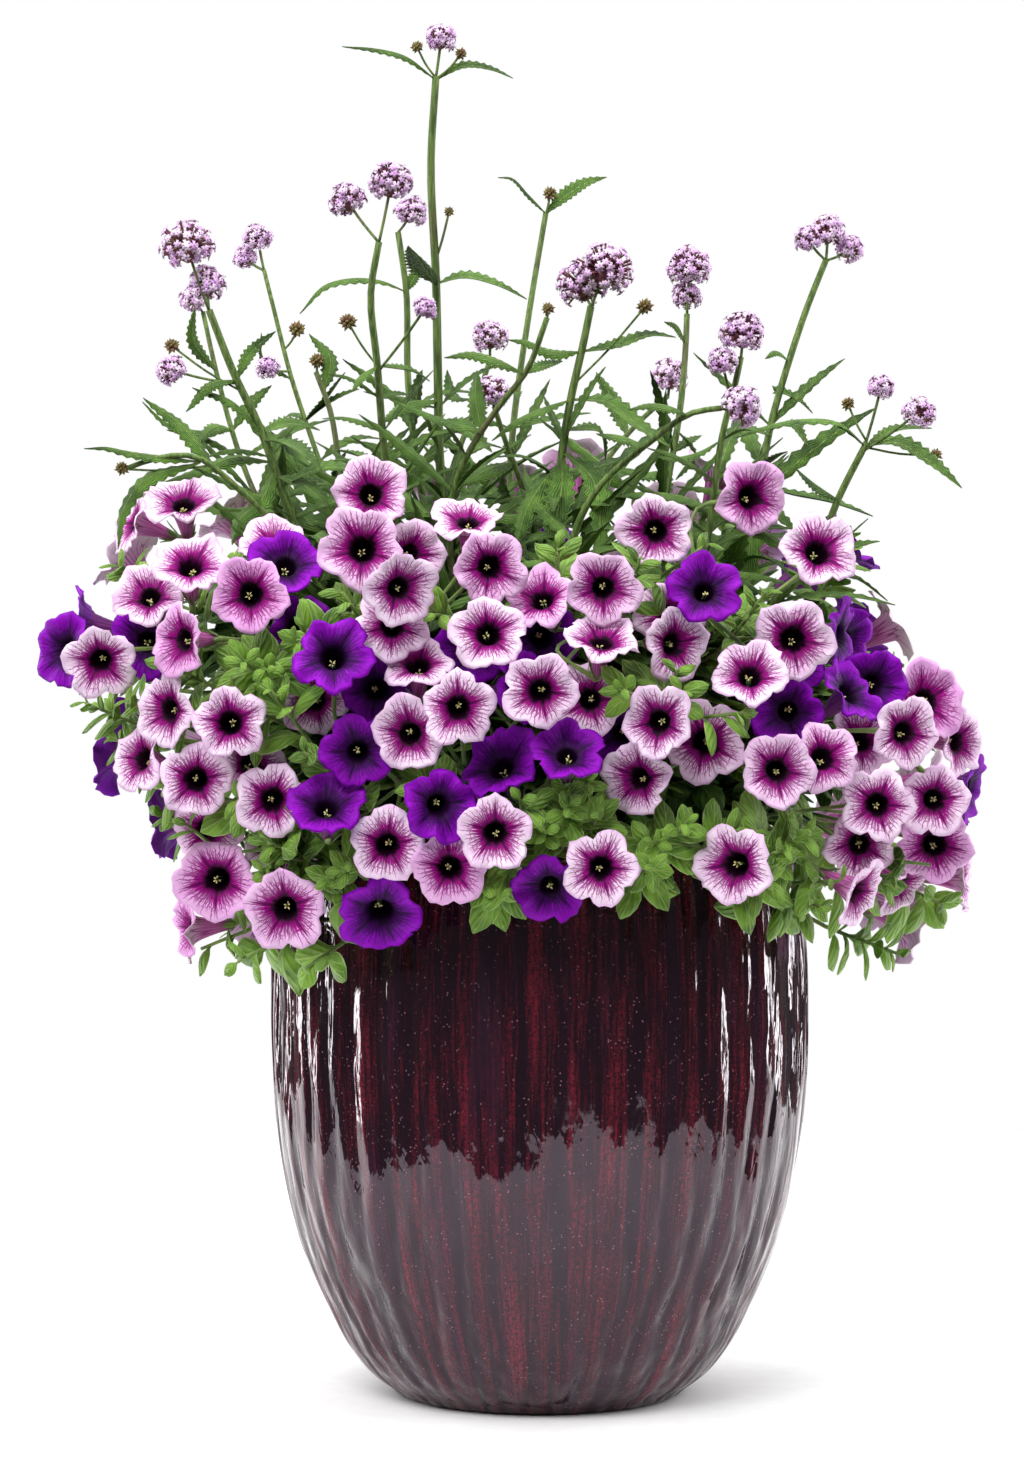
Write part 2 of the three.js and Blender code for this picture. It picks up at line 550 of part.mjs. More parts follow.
// Sprays: blooms of one colour that are near each other share a stalk. Near groups are joined,
// nearest first, until there are as many as wanted.
function gathered(colour, wanted) {
  let groups = blooms.filter((b) => b.colour === colour).map((b) => [b]);
  const middle = (g) => mul(g.reduce((a, b) => add(a, tubeEnd(b)), [0, 0, 0]), 1 / g.length);
  while (groups.length > wanted) {
    let best = null;
    for (let i = 0; i < groups.length; i++) {
      for (let j = i + 1; j < groups.length; j++) {
        if (groups[i].length + groups[j].length > SPRAY_MOST) continue;
        const room = far(middle(groups[i]), middle(groups[j]));
        if (!best || room < best.room) best = { room, i, j };
      }
    }
    if (!best) break;
    const joined = [...groups[best.i], ...groups[best.j]];
    groups = groups.filter((_, k) => k !== best.i && k !== best.j);
    groups.push(joined);
  }
  return groups;
}
const tubeEnd = (b) => add(b.centre, mul(b.face, -TUBE_LENGTH * b.radius));

// How far apart two straight stems pass.
function passing(a, b, c, d, n = 8) {
  let best = Infinity;
  for (let i = 0; i <= n; i++) {
    const p = mix(a, b, i / n);
    const e = sub(d, c);
    const t = Math.min(Math.max(dot(sub(p, c), e) / dot(e, e), 0), 1);
    best = Math.min(best, far(p, add(c, mul(e, t))));
  }
  for (let i = 0; i <= n; i++) {
    const p = mix(c, d, i / n);
    const e = sub(b, a);
    const t = Math.min(Math.max(dot(sub(p, a), e) / dot(e, e), 0), 1);
    best = Math.min(best, far(p, add(a, mul(e, t))));
  }
  return best;
}

const stalks = [];
function keep(path, radius, owner) {
  path.slice(1).forEach((b, k) => {
    const a = path[k];
    stalks.push({ a, b, radius, owner, middle: mix(a, b, 0.5), span: far(a, b) / 2 });
  });
}
stems.forEach((s) => keep(s.path, s.radius, "stem"));

// What a stalk along a path would touch: blooms of other sprays, other stalks, and the pot.
function hits(path, radius, owner, own) {
  const points = paced(path, 4);
  const middle = mix(path[0], path[path.length - 1], 0.5);
  const span = far(path[0], path[path.length - 1]) / 2 + 20;
  let count = 0;
  for (const b of blooms) {
    if (own.includes(b) || far(heart(b), middle) > span + 1.2 * b.radius) continue;
    if (!passes(b, points, radius + 0.8)) count += 1;
  }
  for (let k = 1; k < path.length; k++) {
    for (const s of stalks) {
      if (s.owner === owner || far(s.middle, middle) > s.span + span) continue;
      if (passing(path[k - 1], path[k], s.a, s.b) < radius + s.radius + 0.8) count += 1;
    }
  }
  for (const p of points) {
    const r = Math.sqrt(p[0] * p[0] + p[1] * p[1]);
    if (p[2] < POT_HEIGHT + 4 && r < 192 && r > 150) count += 1;
    if (own.length && inCore(p, radius)) count += 1;
  }
  return count;
}

// How many stalks of the same spray a path crosses before it nears their knot.
function crowding(path, ways) {
  const knot = path[path.length - 1];
  const points = paced(path, 3).filter((p) => far(p, knot) > 13);
  return ways.filter((w) => w.path.slice(1).some((q, k) => {
    const e = sub(q, w.path[k]);
    return points.some((p) => {
      const t = Math.min(Math.max(dot(sub(p, w.path[k]), e) / dot(e, e), 0), 1);
      return far(p, add(w.path[k], mul(e, t))) < 2 * PEDICEL_RADIUS + 0.8;
    });
  })).length;
}

// Directions on a ball, pushed apart until none is nearer than 34 degrees to another. The first stays.
function spread(dirs) {
  const least = 34 * TURN;
  const list = dirs.map((v) => v);
  for (let turn = 0; turn < 200; turn++) {
    let moved = false;
    for (let i = 0; i < list.length; i++) {
      for (let j = i + 1; j < list.length; j++) {
        const angle = Math.acos(Math.min(Math.max(dot(list[i], list[j]), -1), 1));
        if (angle >= least) continue;
        moved = true;
        const push = mul(unit(sub(list[j], list[i])), (least - angle) * 0.55);
        if (i > 0) list[i] = unit(sub(list[i], push));
        list[j] = unit(add(list[j], push));
      }
    }
    if (!moved) break;
  }
  return list;
}

// Where the root's and the stalks' ends meet the knot's ball: the directions from its middle.
function knotEnds(knot, rootEnd, ways) {
  return spread([unit(sub(rootEnd, knot)), ...ways.map((w) => unit(sub(w[w.length - 2], knot)))]);
}
const KNOT_REACH = Math.sqrt(KNOT_RADIUS ** 2 - PEDICEL_RADIUS ** 2);

// How many pairs of a spray's stalks would touch on their last stretch.
function tangled(knot, rootEnd, ways) {
  const ends = knotEnds(knot, rootEnd, ways).map((out) => add(knot, mul(out, KNOT_REACH)));
  const last = [[rootEnd, ends[0]], ...ways.map((w, k) => [w[w.length - 2], ends[k + 1]])];
  let count = 0;
  last.forEach(([a, b], i) => {
    count += last.slice(i + 1).filter(([c, e]) => passing(a, b, c, e, 40) < 2 * PEDICEL_RADIUS + 0.4).length;
  });
  return count;
}

// Whether a way turns back on itself.
function folds(path, heading) {
  const dirs = [heading, ...path.slice(1).map((p, k) => unit(sub(p, path[k])))];
  return dirs.slice(1).some((dir, k) => dot(dir, dirs[k]) < -0.1);
}

// Finds the knot of a spray and the way of each of its stalks.
const BENDS = [[0, 0], [12, 0], [-12, 0], [0, 12], [0, -12], [14, 14], [-14, 14], [14, -14], [-14, -14],
  [25, 0], [-25, 0], [0, 25], [0, -25], [25, 25], [-25, 25], [25, -25], [-25, -25], [38, 0], [-38, 0], [0, 38],
  [0, -38]];
function routed(group, tag) {
  const ends = group.map(tubeEnd);
  const middle = mul(ends.reduce(add, [0, 0, 0]), 1 / ends.length);
  const angle = Math.atan2(middle[1], middle[0]);
  let best = null;
  for (const dz of [0, 14, -14, 28, -28, 42]) {
    for (const da of [0, 0.08, -0.08, 0.16, -0.16, 0.26, -0.26]) {
      for (const dr of [14, 26, 10, 38]) {
        const z = Math.min(Math.max(middle[2] - 10, 406), 530) + dz;
        if (z < 398 || z > 545) continue;
        const a = angle + da;
        const reach = coreReach(CORE_OUTSIDE, a, Math.min(z, 515));
        const out = [Math.cos(a), Math.sin(a), 0];
        const knot = add(mul(out, reach + dr), [0, 0, z]);
        const rootEnd = add(mul(out, reach - 26), [0, 0, Math.min(z, 511) - 2]);
        const ways = [];
        const root = [knot, rootEnd];
        let cost = hits(root, 2.2, group, []) * 2;
        for (let i = 0; i < group.length; i++) {
          if (best && cost >= best.cost) break;
          const b = group[i];
          let way = null;
          for (const bend of [0, 9, 18, 28]) {
            for (const [sx, sz] of BENDS) {
              if (bend === 0 && (sx || sz)) continue;
              const side = [-Math.sin(a) * sx, Math.cos(a) * sx, sz];
              const via = bend ? [add(add(ends[i], mul(b.face, -bend)), side)] : [];
              const path = [ends[i], ...via, knot];
              const c = hits(path, PEDICEL_RADIUS, group, [b]) + crowding(path, ways) + (bend ? 0.05 : 0)
                + (folds(path, mul(b.face, -1)) ? 0.6 : 0);
              if (!way || c < way.cost) way = { path, cost: c };
              if (way.cost < 0.1) break;
            }
            if (way.cost < 0.1) break;
          }
          cost += way.cost;
          ways.push(way);
        }
        if (best && cost >= best.cost) continue;
        cost += tangled(knot, rootEnd, ways.map((w) => w.path));
        if (!best || cost < best.cost) best = { cost, knot, rootEnd, ways };
        if (best.cost < 0.2) break;
      }
      if (best && best.cost < 0.2) break;
    }
    if (best && best.cost < 0.2) break;
  }
  best.ways.forEach((w, i) => {
    group[i].way = w.path;
    keep(w.path, PEDICEL_RADIUS, group);
  });
  keep([best.knot, best.rootEnd], 2.2, group);
  keep([best.knot, add(best.knot, [0, 0, 0.1])], KNOT_RADIUS, group);
  return { tag, group, ...best };
}

const numbered = (name, k) => name + "_" + String(k + 1).padStart(2, "0");
const sprays = [
  ...gathered("v", VIOLET_SPRAYS).map((g, k) => [numbered("violet_blooms", k), g]),
  ...gathered("p", PINK_SPRAYS).map((g, k) => [numbered("pink_blooms", k), g]),
].map(([tag, g]) => routed(g, tag));

// Draws a bloom with its stalk: a five-lobed limb, a throat with a pit, a tube, and the stalk's way,
// which ends in a given ring.
function drawBloom(d, b, out) {
  const R = b.radius;
  const [u0, v0] = across(b.face);
  const u = add(mul(u0, Math.cos(b.spin)), mul(v0, Math.sin(b.spin)));
  const v = cross(b.face, u);
  const circle = (count, radiusAt, depthAt) => d.ring(Array.from({ length: count }, (_, i) => {
    const a = (i / count) * 2 * Math.PI;
    const at = add(mul(u, Math.cos(a) * radiusAt(i)), mul(v, Math.sin(a) * radiusAt(i)));
    return add(add(b.centre, at), mul(b.face, -depthAt(i)));
  }));
  const wave = (i) => 0.035 * R * Math.sin(i * 2.4 + b.spin * 3);
  const edge = (i) => (i % 2 ? 0.9 * R : R);
  const pit = circle(1, () => 0, () => 0.8 * R);
  const throat = circle(5, () => 0.25 * R, () => 0.24 * R);
  const front = circle(10, edge, wave);
  const neck = circle(3, () => 0.34 * R, () => 0.45 * R);
  throat.forEach((t, i) => d.faces([[pit[0], throat[(i + 1) % 5], t]]));
  d.faces(bridge(throat, front));
  d.faces(bridge(front, neck));
  return drawStalk(d, neck, u, mul(b.face, -1), b.way, 0.09 * R, out);
}

// Draws a three-sided stalk on from a ring, along a way, to a ring on the knot's ball.
function drawStalk(d, ring, start, heading, way, thick, out) {
  const dirs = way.slice(1).map((p, k) => unit(sub(p, way[k])));
  let dir = heading;
  let w = start;
  let last = ring;
  way.forEach((p, k) => {
    const end = k === way.length - 1;
    const here = end ? mul(out, -1) : unit(add(k ? dirs[k - 1] : heading, dirs[k]));
    w = unit(carried(w, dir, here));
    dir = here;
    const q = cross(w, dir);
    const r = k ? PEDICEL_RADIUS : thick;
    const next = d.ring([0, 1, 2].map((i) => {
      const a = (i / 3) * 2 * Math.PI;
      return add(p, add(mul(w, Math.cos(a) * r), mul(q, Math.sin(a) * r)));
    }));
    d.faces(last ? bridge(last, next) : fan(next));
    last = next;
  });
  return last;
}

// The faces of the ball that joins the rings: each face of three points with no point beyond it.
function hullFaces(points) {
  const faces = [];
  const n = points.length;
  for (let i = 0; i < n; i++) {
    for (let j = i + 1; j < n; j++) {
      for (let k = j + 1; k < n; k++) {
        const normal = cross(sub(points[j], points[i]), sub(points[k], points[i]));
        const others = points.filter((_, m) => m !== i && m !== j && m !== k);
        const sides = others.map((p) => dot(sub(p, points[i]), normal));
        if (sides.every((s) => s <= 0)) faces.push([i, j, k]);
        else if (sides.every((s) => s >= 0)) faces.push([i, k, j]);
      }
    }
  }
  return faces;
}

// A spray: its blooms, the knot where their stalks meet, and the root that is sunk in the plant.
function spraySolid(s) {
  const d = drawing();
  const rootDir = unit(sub(s.rootEnd, s.knot));
  const dirs = knotEnds(s.knot, s.rootEnd, s.group.map((b) => b.way));
  const rings = dirs.map((out, k) => {
    const end = add(s.knot, mul(out, KNOT_REACH));
    if (k === 0) return drawStalk(d, null, across(rootDir)[0], mul(out, -1), [s.rootEnd, end], 2, out);
    const b = s.group[k - 1];
    b.way[b.way.length - 1] = end;
    return drawBloom(d, b, out);
  });
  const ids = rings.flat();
  const outer = hullFaces(ids.map((i) => d.point(i)));
  const isRing = (f) => f.every((i) => Math.floor(i / 3) === Math.floor(f[0] / 3));
  const [first] = outer.filter(isRing);
  const flip = (first[1] - first[0] + 3) % 3 === 1;
  const between = outer.filter((f) => !isRing(f));
  d.faces(between.map(([a, b, c]) => (flip ? [ids[a], ids[c], ids[b]] : [ids[a], ids[b], ids[c]])));
  return d.done();
}

// A small lump of six points.
function lump(c, r, stretch = 1) {
  const points = [[r, 0, 0], [0, r, 0], [-r, 0, 0], [0, -r, 0], [0, 0, r * stretch], [0, 0, -r * stretch]];
  return solid(points.map((p) => add(c, p)), [0, 1, 2, 3].flatMap((i) => {
    const j = (i + 1) % 4;
    return [[i, j, 4], [j, i, 5]];
  }));
}

// A head of small flowers on its own three-sided stalk: a rough ball whose lowest face is the stalk's
// end, on the larger heads with points of petals that stand out of it.
function headSolid(from, c, r, kind, chance) {
  const d = drawing();
  const dir = unit(sub(c, from));
  const [u, v] = across(dir);
  const ring = (at, radius, turn) => d.ring([0, 1, 2].map((i) => {
    const a = ((i + turn) / 3) * 2 * Math.PI;
    return add(at, add(mul(u, Math.cos(a) * radius), mul(v, Math.sin(a) * radius)));
  }));
  const rough = () => r * (kind === "spiked" ? 0.84 : 0.96) * (0.93 + 0.14 * chance());
  const rows = kind === "bud"
    ? [[-0.5, 0.75, 0], [0.5, 0.75, 0.5]]
    : [[-0.8, 0.6, 0], [-0.19, 0.98, 0.5], [0.19, 0.98, 1], [0.8, 0.6, 1.5]];
  const rings = [ring(from, 1.3, 0), ring(add(c, mul(dir, -r * 0.85)), 1.2, 0)];
  rows.forEach(([h, w, turn]) => rings.push(ring(add(c, mul(dir, h * rough())), w * rough(), turn)));
  d.faces(fan(rings[0]));
  d.faces(lid(rings[rings.length - 1]));
  rings.slice(1).forEach((next, k) => {
    const faces = bridge(rings[k], next);
    if (kind !== "spiked" || k < 2) {
      d.faces(faces);
      return;
    }
    faces.forEach((f, i) => {
      if (i % 2) {
        d.faces([f]);
        return;
      }
      const middle = mul(f.reduce((sum, id) => add(sum, d.point(id)), [0, 0, 0]), 1 / 3);
      const [tip] = d.ring([add(c, mul(unit(sub(middle, c)), r * 1.02))]);
      d.faces([[f[0], f[1], tip], [f[1], f[2], tip], [f[2], f[0], tip]]);
    });
  });
  return d.done();
}

// A leaf along a path: half widths at each inner point, folded up or drooping at its edges.
function leafSolid(path, halves, fold, thick, side) {
  const d = drawing();
  const n = path.length - 1;
  const rows = path.map((p, k) => {
    const dir = unit(sub(path[Math.min(k + 1, n)], path[Math.max(k - 1, 0)]));
    const out = unit(sub(side, mul(dir, dot(side, dir))));
    const up = cross(dir, out);
    if (k === 0 || k === n) return [p, add(p, mul(up, -thick))];
    const lift = mul(up, halves[k - 1] * fold * (k % 2 ? 1 : 0.6));
    const left = add(add(p, mul(out, halves[k - 1])), lift);
    const right = add(add(p, mul(out, -halves[k - 1])), lift);
    return [left, right, add(left, mul(up, -thick)), add(right, mul(up, -thick))];
  });
  const ids = rows.map((r) => d.ring(r));
  const [b, bb] = ids[0];
  const [t, tt] = ids[n];
  for (let k = 1; k < n; k++) {
    const [l, r, ll, rr] = ids[k];
    if (k === 1) d.faces([[b, r, l], [bb, ll, rr], [b, l, ll], [b, ll, bb], [b, rr, r], [b, bb, rr]]);
    if (k === n - 1) d.faces([[l, r, t], [ll, tt, rr], [l, t, tt], [l, tt, ll], [r, tt, t], [r, rr, tt]]);
    if (k < n - 1) {
      const [l2, r2, ll2, rr2] = ids[k + 1];
      d.faces([[l, r, r2], [l, r2, l2], [ll, rr2, rr], [ll, ll2, rr2]]);
      d.faces([[l, l2, ll2], [l, ll2, ll], [r, rr2, r2], [r, rr, rr2]]);
    }
  }
  return d.done();
}

const nodes = [];
function node(name, made, look) {
  nodes.push({ name, made, look });
}

// A solid turned round the axis, from a profile of radii and heights.
function turned(profile, sides) {
  const g = new THREE.LatheGeometry(profile.map(([r, z]) => new THREE.Vector2(r, z)), sides);
  g.rotateX(Math.PI / 2);
  const merged = mergeVertices(g.deleteAttribute("normal").deleteAttribute("uv"), 1e-3);
  const at = merged.getAttribute("position");
  const points = Array.from({ length: at.count }, (_, i) => [at.getX(i), at.getY(i), at.getZ(i)]);
  const index = Array.from(merged.index.array);
  const faces = [];
  for (let i = 0; i < index.length; i += 3) {
    const [a, b, c] = index.slice(i, i + 3);
    if (a !== b && b !== c && a !== c) faces.push([a, b, c]);
  }
  return solid(points, faces);
}

// The pot: a ribbed outside, less a smooth inside and three drain holes beside the middle. The ribs
// wander a little low down.
function potSolid() {
  const d = drawing();
  const sway = drawer(5);
  const phase = Array.from({ length: RIBS }, () => [sway() - 0.5, sway() - 0.5]);
  const rings = POT_PROFILE.map(([z, r], k) => d.ring(Array.from({ length: 2 * RIBS }, (_, i) => {
    const lean = k === 1 || k === 2 ? phase[i >> 1][k - 1] * 0.035 : 0;
    const a = (i / (2 * RIBS)) * 2 * Math.PI + lean;
    const deep = i % 2 ? RIB_DEPTH * (z < 10 ? 0.5 : 1) : 0;
    return [Math.cos(a) * (r - deep), Math.sin(a) * (r - deep), z];
  })));
  rings.slice(1).forEach((r, k) => d.faces(bridge(rings[k], r)));
  const [under, over] = d.ring([[0, 0, 0], [0, 0, POT_HEIGHT]]);
  const top = rings[rings.length - 1];
  rings[0].forEach((p, i) => d.faces([[under, rings[0][(i + 1) % (2 * RIBS)], p]]));
  top.forEach((p, i) => d.faces([[over, p, top[(i + 1) % (2 * RIBS)]]]));
  const inside = turned([[0, 16], [96, 16], [156, 115], [172, 245], [166, 385], [160, 400], [0, 400]], 28);
  const drains = [90, 210, 330].map((deg) => {
    const at = [55 * Math.cos(deg * TURN), 55 * Math.sin(deg * TURN)];
    return rod([[...at, -5], [...at, 20]], [9, 9], 6);
  });
  return d.done().subtract(fuse([inside, ...drains]));
}
node("pot", potSolid(), GLAZE);

// Petunia plants: each a core, which is its part of the ring round the rim, a foot in the soil, leaves
// that stand out of the core, and leafy shoots that come out between the blooms.
const chance = drawer(19);
function coreSolid(from, to) {
  const d = drawing();
  const turn = (k) => from + ((to - from) * k) / CORE_STEPS;
  const at = (a, r, z) => [Math.cos(a) * r, Math.sin(a) * r, z];
  const rings = Array.from({ length: CORE_STEPS + 1 }, (_, k) => {
    const a = turn(k);
    const out = CORE_OUTSIDE.map(([z]) => at(a, coreReach(CORE_OUTSIDE, a, z) * (0.91 + 0.05 * chance()), z));
    const within = CORE_INSIDE.map(([z]) => at(a, coreReach(CORE_INSIDE, a, z), z));
    return d.ring([...out, ...within.reverse()]);
  });
  const tufts = CORE_OUTSIDE.length - 1;
  rings.slice(1).forEach((next, k) => {
    const last = rings[k];
    for (let i = 0; i < tufts; i++) {
      const a = turn(k + 0.3 + 0.4 * chance());
      const z = CORE_OUTSIDE[i][0] + (CORE_OUTSIDE[i + 1][0] - CORE_OUTSIDE[i][0]) * (0.4 + 0.4 * chance());
      const [top] = d.ring([at(a, coreReach(CORE_OUTSIDE, a, z) * 1.03, z)]);
      const cell = [last[i], next[i], next[i + 1], last[i + 1]];
      cell.forEach((p, m) => d.faces([[p, cell[(m + 1) % 4], top]]));
    }
    for (let i = tufts; i < last.length; i++) {
      const j = (i + 1) % last.length;
      d.faces([[last[i], next[i], next[j]], [last[i], next[j], last[j]]]);
    }
  });
  const fromInside = (ring) => [ring[ring.length - 1], ...ring.slice(0, -1)];
  d.faces(lid(fromInside(rings[0])));
  d.faces(fan(fromInside(rings[CORE_STEPS])));
  return d.done();
}

const rootHoles = [];
const plants = Array.from({ length: PLANTS }, (_, k) => {
  const from = (k / PLANTS) * 2 * Math.PI + 0.004;
  const to = ((k + 1) / PLANTS) * 2 * Math.PI - 0.004;
  const middle = (from + to) / 2;
  const foot = [Math.cos(middle) * 108, Math.sin(middle) * 108];
  rootHoles.push(rod([[...foot, SOIL_TOP + 20], [...foot, SOIL_TOP - 40.4]], [6.6, 5.6], 4));
  const root = rod([[...foot, SOIL_TOP + 8], [...foot, SOIL_TOP - 40]], [6, 5], 4);
  return { from, to, pieces: [coreSolid(from, to), root] };
});
// The plant whose part of the ring a point is in, and whether it is well inside that part.
const nearPlant = (p, plant) => {
  const a = Math.atan2(p[1], p[0]);
  const slack = 1.5 / Math.hypot(p[0], p[1]);
  return [a - slack, a + slack].every((t) => plantOf([Math.cos(t), Math.sin(t)]) === plant);
};
const plantOf = (p) => {
  const a = Math.atan2(p[1], p[0]);
  return plants[Math.floor((((a < 0 ? a + 2 * Math.PI : a) / (2 * Math.PI)) * PLANTS)) % PLANTS];
};

// The sprays, and the holes in the plants that their roots stand in.
const roots = [];
for (const s of sprays) {
  const inward = unit(sub(s.rootEnd, s.knot));
  const wide = 2 * STEM_GAP;
  roots.push(rod([s.knot, add(s.rootEnd, mul(inward, STEM_GAP))], [PEDICEL_RADIUS + wide, 2 + wide], 3));
  node(s.tag, spraySolid(s), s.tag.startsWith("v") ? VIOLET : PINK);
}

// Whether a leaf keeps off all blooms, stalks and stems.
function leafFits(path, halves, side, ownStem) {
  const points = [];
  const n = path.length - 1;
  path.forEach((p, k) => {
    if (k === 0) return;
    points.push(p, mix(path[k - 1], p, 0.5));
    if (k === n) return;
    const dir = unit(sub(path[k + 1], path[k - 1]));
    const out = unit(sub(side, mul(dir, dot(side, dir))));
    points.push(add(p, mul(out, halves[k - 1])), add(p, mul(out, -halves[k - 1])));
  });
  const middle = mix(path[0], path[n], 0.5);
  const span = far(path[0], path[n]) / 2 + 18;
  for (const b of blooms) {
    if (far(heart(b), middle) < span + 1.2 * b.radius && !oneSide(b, points, 1.6)) return false;
  }
  for (const s of stalks) {
    if (s.owner === ownStem || far(s.middle, middle) > s.span + span) continue;
    for (let k = 1; k <= n; k++) {
      const wide = Math.max(halves[Math.min(k, n - 1) - 1] || 0, 2) * 0.8;
      if (passing(path[k - 1], path[k], s.a, s.b) < s.radius + wide + 0.5) return false;
    }
  }
  return points.every((p) => {
    const r = Math.hypot(p[0], p[1]);
    return p[2] > POT_HEIGHT + 6 || r > 194 || r < 160;
  });
}

// Verbena plants: square stems from a crown, long leaves, and buds on side stalks.
const verbena = { 1: [], 2: [], 3: [] };
Object.entries(CROWNS).forEach(([k, c]) => {
  verbena[k].push(lump(add(c, [0, 0, 10]), 13, 0.7));
  verbena[k].push(rod([add(c, [0, 0, 10]), add(c, [0, 0, -40])], [7, 5], 4));
  rootHoles.push(rod([add(c, [0, 0, 20]), add(c, [0, 0, -40.4])], [8, 5.6], 4));
});

// The point of a stem at a pixel row.
function stemAt(stem, py) {
  const last = stem.path.length - 1;
  const rowHeight = (k) => seen(0, py, stem.path[k][1])[2];
  const k = stem.path.findIndex((p, i) => i > 0 && (i === last || rowHeight(i) <= p[2]));
  const a = stem.path[k - 1];
  const b = stem.path[k];
  return mix(a, b, Math.min(Math.max((rowHeight(k) - a[2]) / (b[2] - a[2]), 0), 1));
}
stems.forEach((s) => {
  const n = s.path.length;
  s.end = s.path[n - 1];
  verbena[s.crown].push(rod(s.path, s.path.map((_, k) => s.radius * (1.15 - 0.45 * (k / (n - 1)))), 4));
});

// The path of something that leaves a stem and ends at a pixel, at a depth from the stem's.
function offshoot(stem, row, deep, pixels) {
  const base = stemAt(stem, row);
  return [base, ...pixels.map(([px, py], k) => seen(px, py, base[1] + (deep * (k + 1)) / pixels.length))];
}
LONG_LEAVES.forEach(([index, row, deep, half, pixels]) => {
  const stem = stems[index];
  const path = offshoot(stem, row, deep, pixels);
  if (pixels.length === 2) path.splice(2, 0, mix(path[1], path[2], 0.5));
  if (pixels.length === 1) path.splice(1, 0, mix(path[0], path[1], 0.5));
  const n = path.length - 2;
  const narrower = (k) => (k % 2 ? 0.78 : 1) * (k === n - 1 && n > 2 ? 0.75 : 1);
  const halves = Array.from({ length: n }, (_, k) => half * narrower(k));
  const side = [0.15, 0.8, 0.6];
  if (!leafFits(path, halves, side, "stem")) return;
  verbena[stem.crown].push(leafSolid(path, halves, 0.25, 0.8, side));
});
BUDS.forEach(([index, row, [px, py, wide]]) => {
  const stem = stems[index];
  const [base, end] = offshoot(stem, row, chance() * 30 - 15, [[px, py]]);
  const r = (wide * MM_PER_PX) / 2;
  verbena[stem.crown].push(headSolid(base, end, r, "bud", chance));
  keep([base, end], 1.3, "stem");
});

// Whether all edges of a solid are long enough to keep when it is written out.
function crisp(made) {
  const m = made.getMesh();
  const at = (k) => Array.from(m.vertProperties.slice(3 * k, 3 * k + 3));
  for (let k = 0; k < m.triVerts.length; k += 3) {
    const [a, b, c] = [0, 1, 2].map((i) => at(m.triVerts[k + i]));
    const longest = Math.max(far(a, b), far(b, c), far(c, a));
    if (size(cross(sub(b, a), sub(c, a))) / longest < 0.004) return false;
    if (Math.min(far(a, b), far(b, c), far(c, a)) < 0.008) return false;
  }
  return true;
}

// Whether a solid touches one of some others.
function touches(made, others) {
  const a = made.boundingBox();
  return others.some((other) => {
    const b = other.boundingBox();
    if ([0, 1, 2].some((i) => a.min[i] > b.max[i] || a.max[i] < b.min[i])) return false;
    return made.intersect(other).volume() > 0.003;
  });
}

// The heads at the end of a stem, as one piece that starts close to the stem and touches nothing: the
// first of some depths and starts that does so is used.
const stemSolids = Object.values(verbena).map((pieces) => fuse(pieces));
const headNodes = [];
function headNode(startAt, lowest, heads) {
  const seed = chance() * 1e6;
  const made = (more, deeper) => {
    const rough = drawer(seed);
    return fuse(heads.map(([[px, py, y], r]) => {
      return headSolid(startAt(more), seen(px, py, y + deeper), r, r > 15 ? "spiked" : "plain", rough);
    }));
  };
  const clear = (head) => crisp(head) && !touches(head, [...stemSolids, ...headNodes]);
  const depths = [0, 5, -5, 9, -9, 14, -14, 20, -20, 28, -28, 36, -36];
  for (const [deeper, most] of [...depths.map((y) => [y, 1.3]), ...depths.map((y) => [y, 9])]) {
    for (let more = lowest; more < lowest + most; more += 0.25) {
      if (!clear(made(more, deeper))) continue;
      const further = made(more + 0.2, deeper);
      headNodes.push(clear(further) ? further : made(more, deeper));
      heads.forEach(([[px, py, y], r]) => {
        const end = seen(px, py, y + deeper);
        keep([startAt(more), end], 1.3, "stem");
        keep([end, add(end, [0, 0, 0.1])], r, "stem");
      });
      return;
    }
  }
}
HEADS.forEach(([index, heads]) => {
  const stem = stems[index];
  const n = stem.path.length;
  const up = unit(sub(stem.path[n - 1], stem.path[n - 2]));
  headNode((more) => add(stem.end, mul(up, more)), 0.3, heads.map(([px, py, wide], k) => {
    const y = stem.end[1] + (k ? (k % 2 ? 9 : -9) : 0);
    return [[px, py, y], (wide * MM_PER_PX) / 2];
  }));
});
SIDE_HEADS.forEach(([index, row, [px, py, wide]]) => {
  const stem = stems[index];
  const [base, end] = offshoot(stem, row, -14, [[px, py]]);
  const dir = unit(sub(end, base));
  headNode((more) => add(base, mul(dir, more)), stem.radius * 0.7, [[[px, py, end[1]], (wide * MM_PER_PX) / 2]]);
});

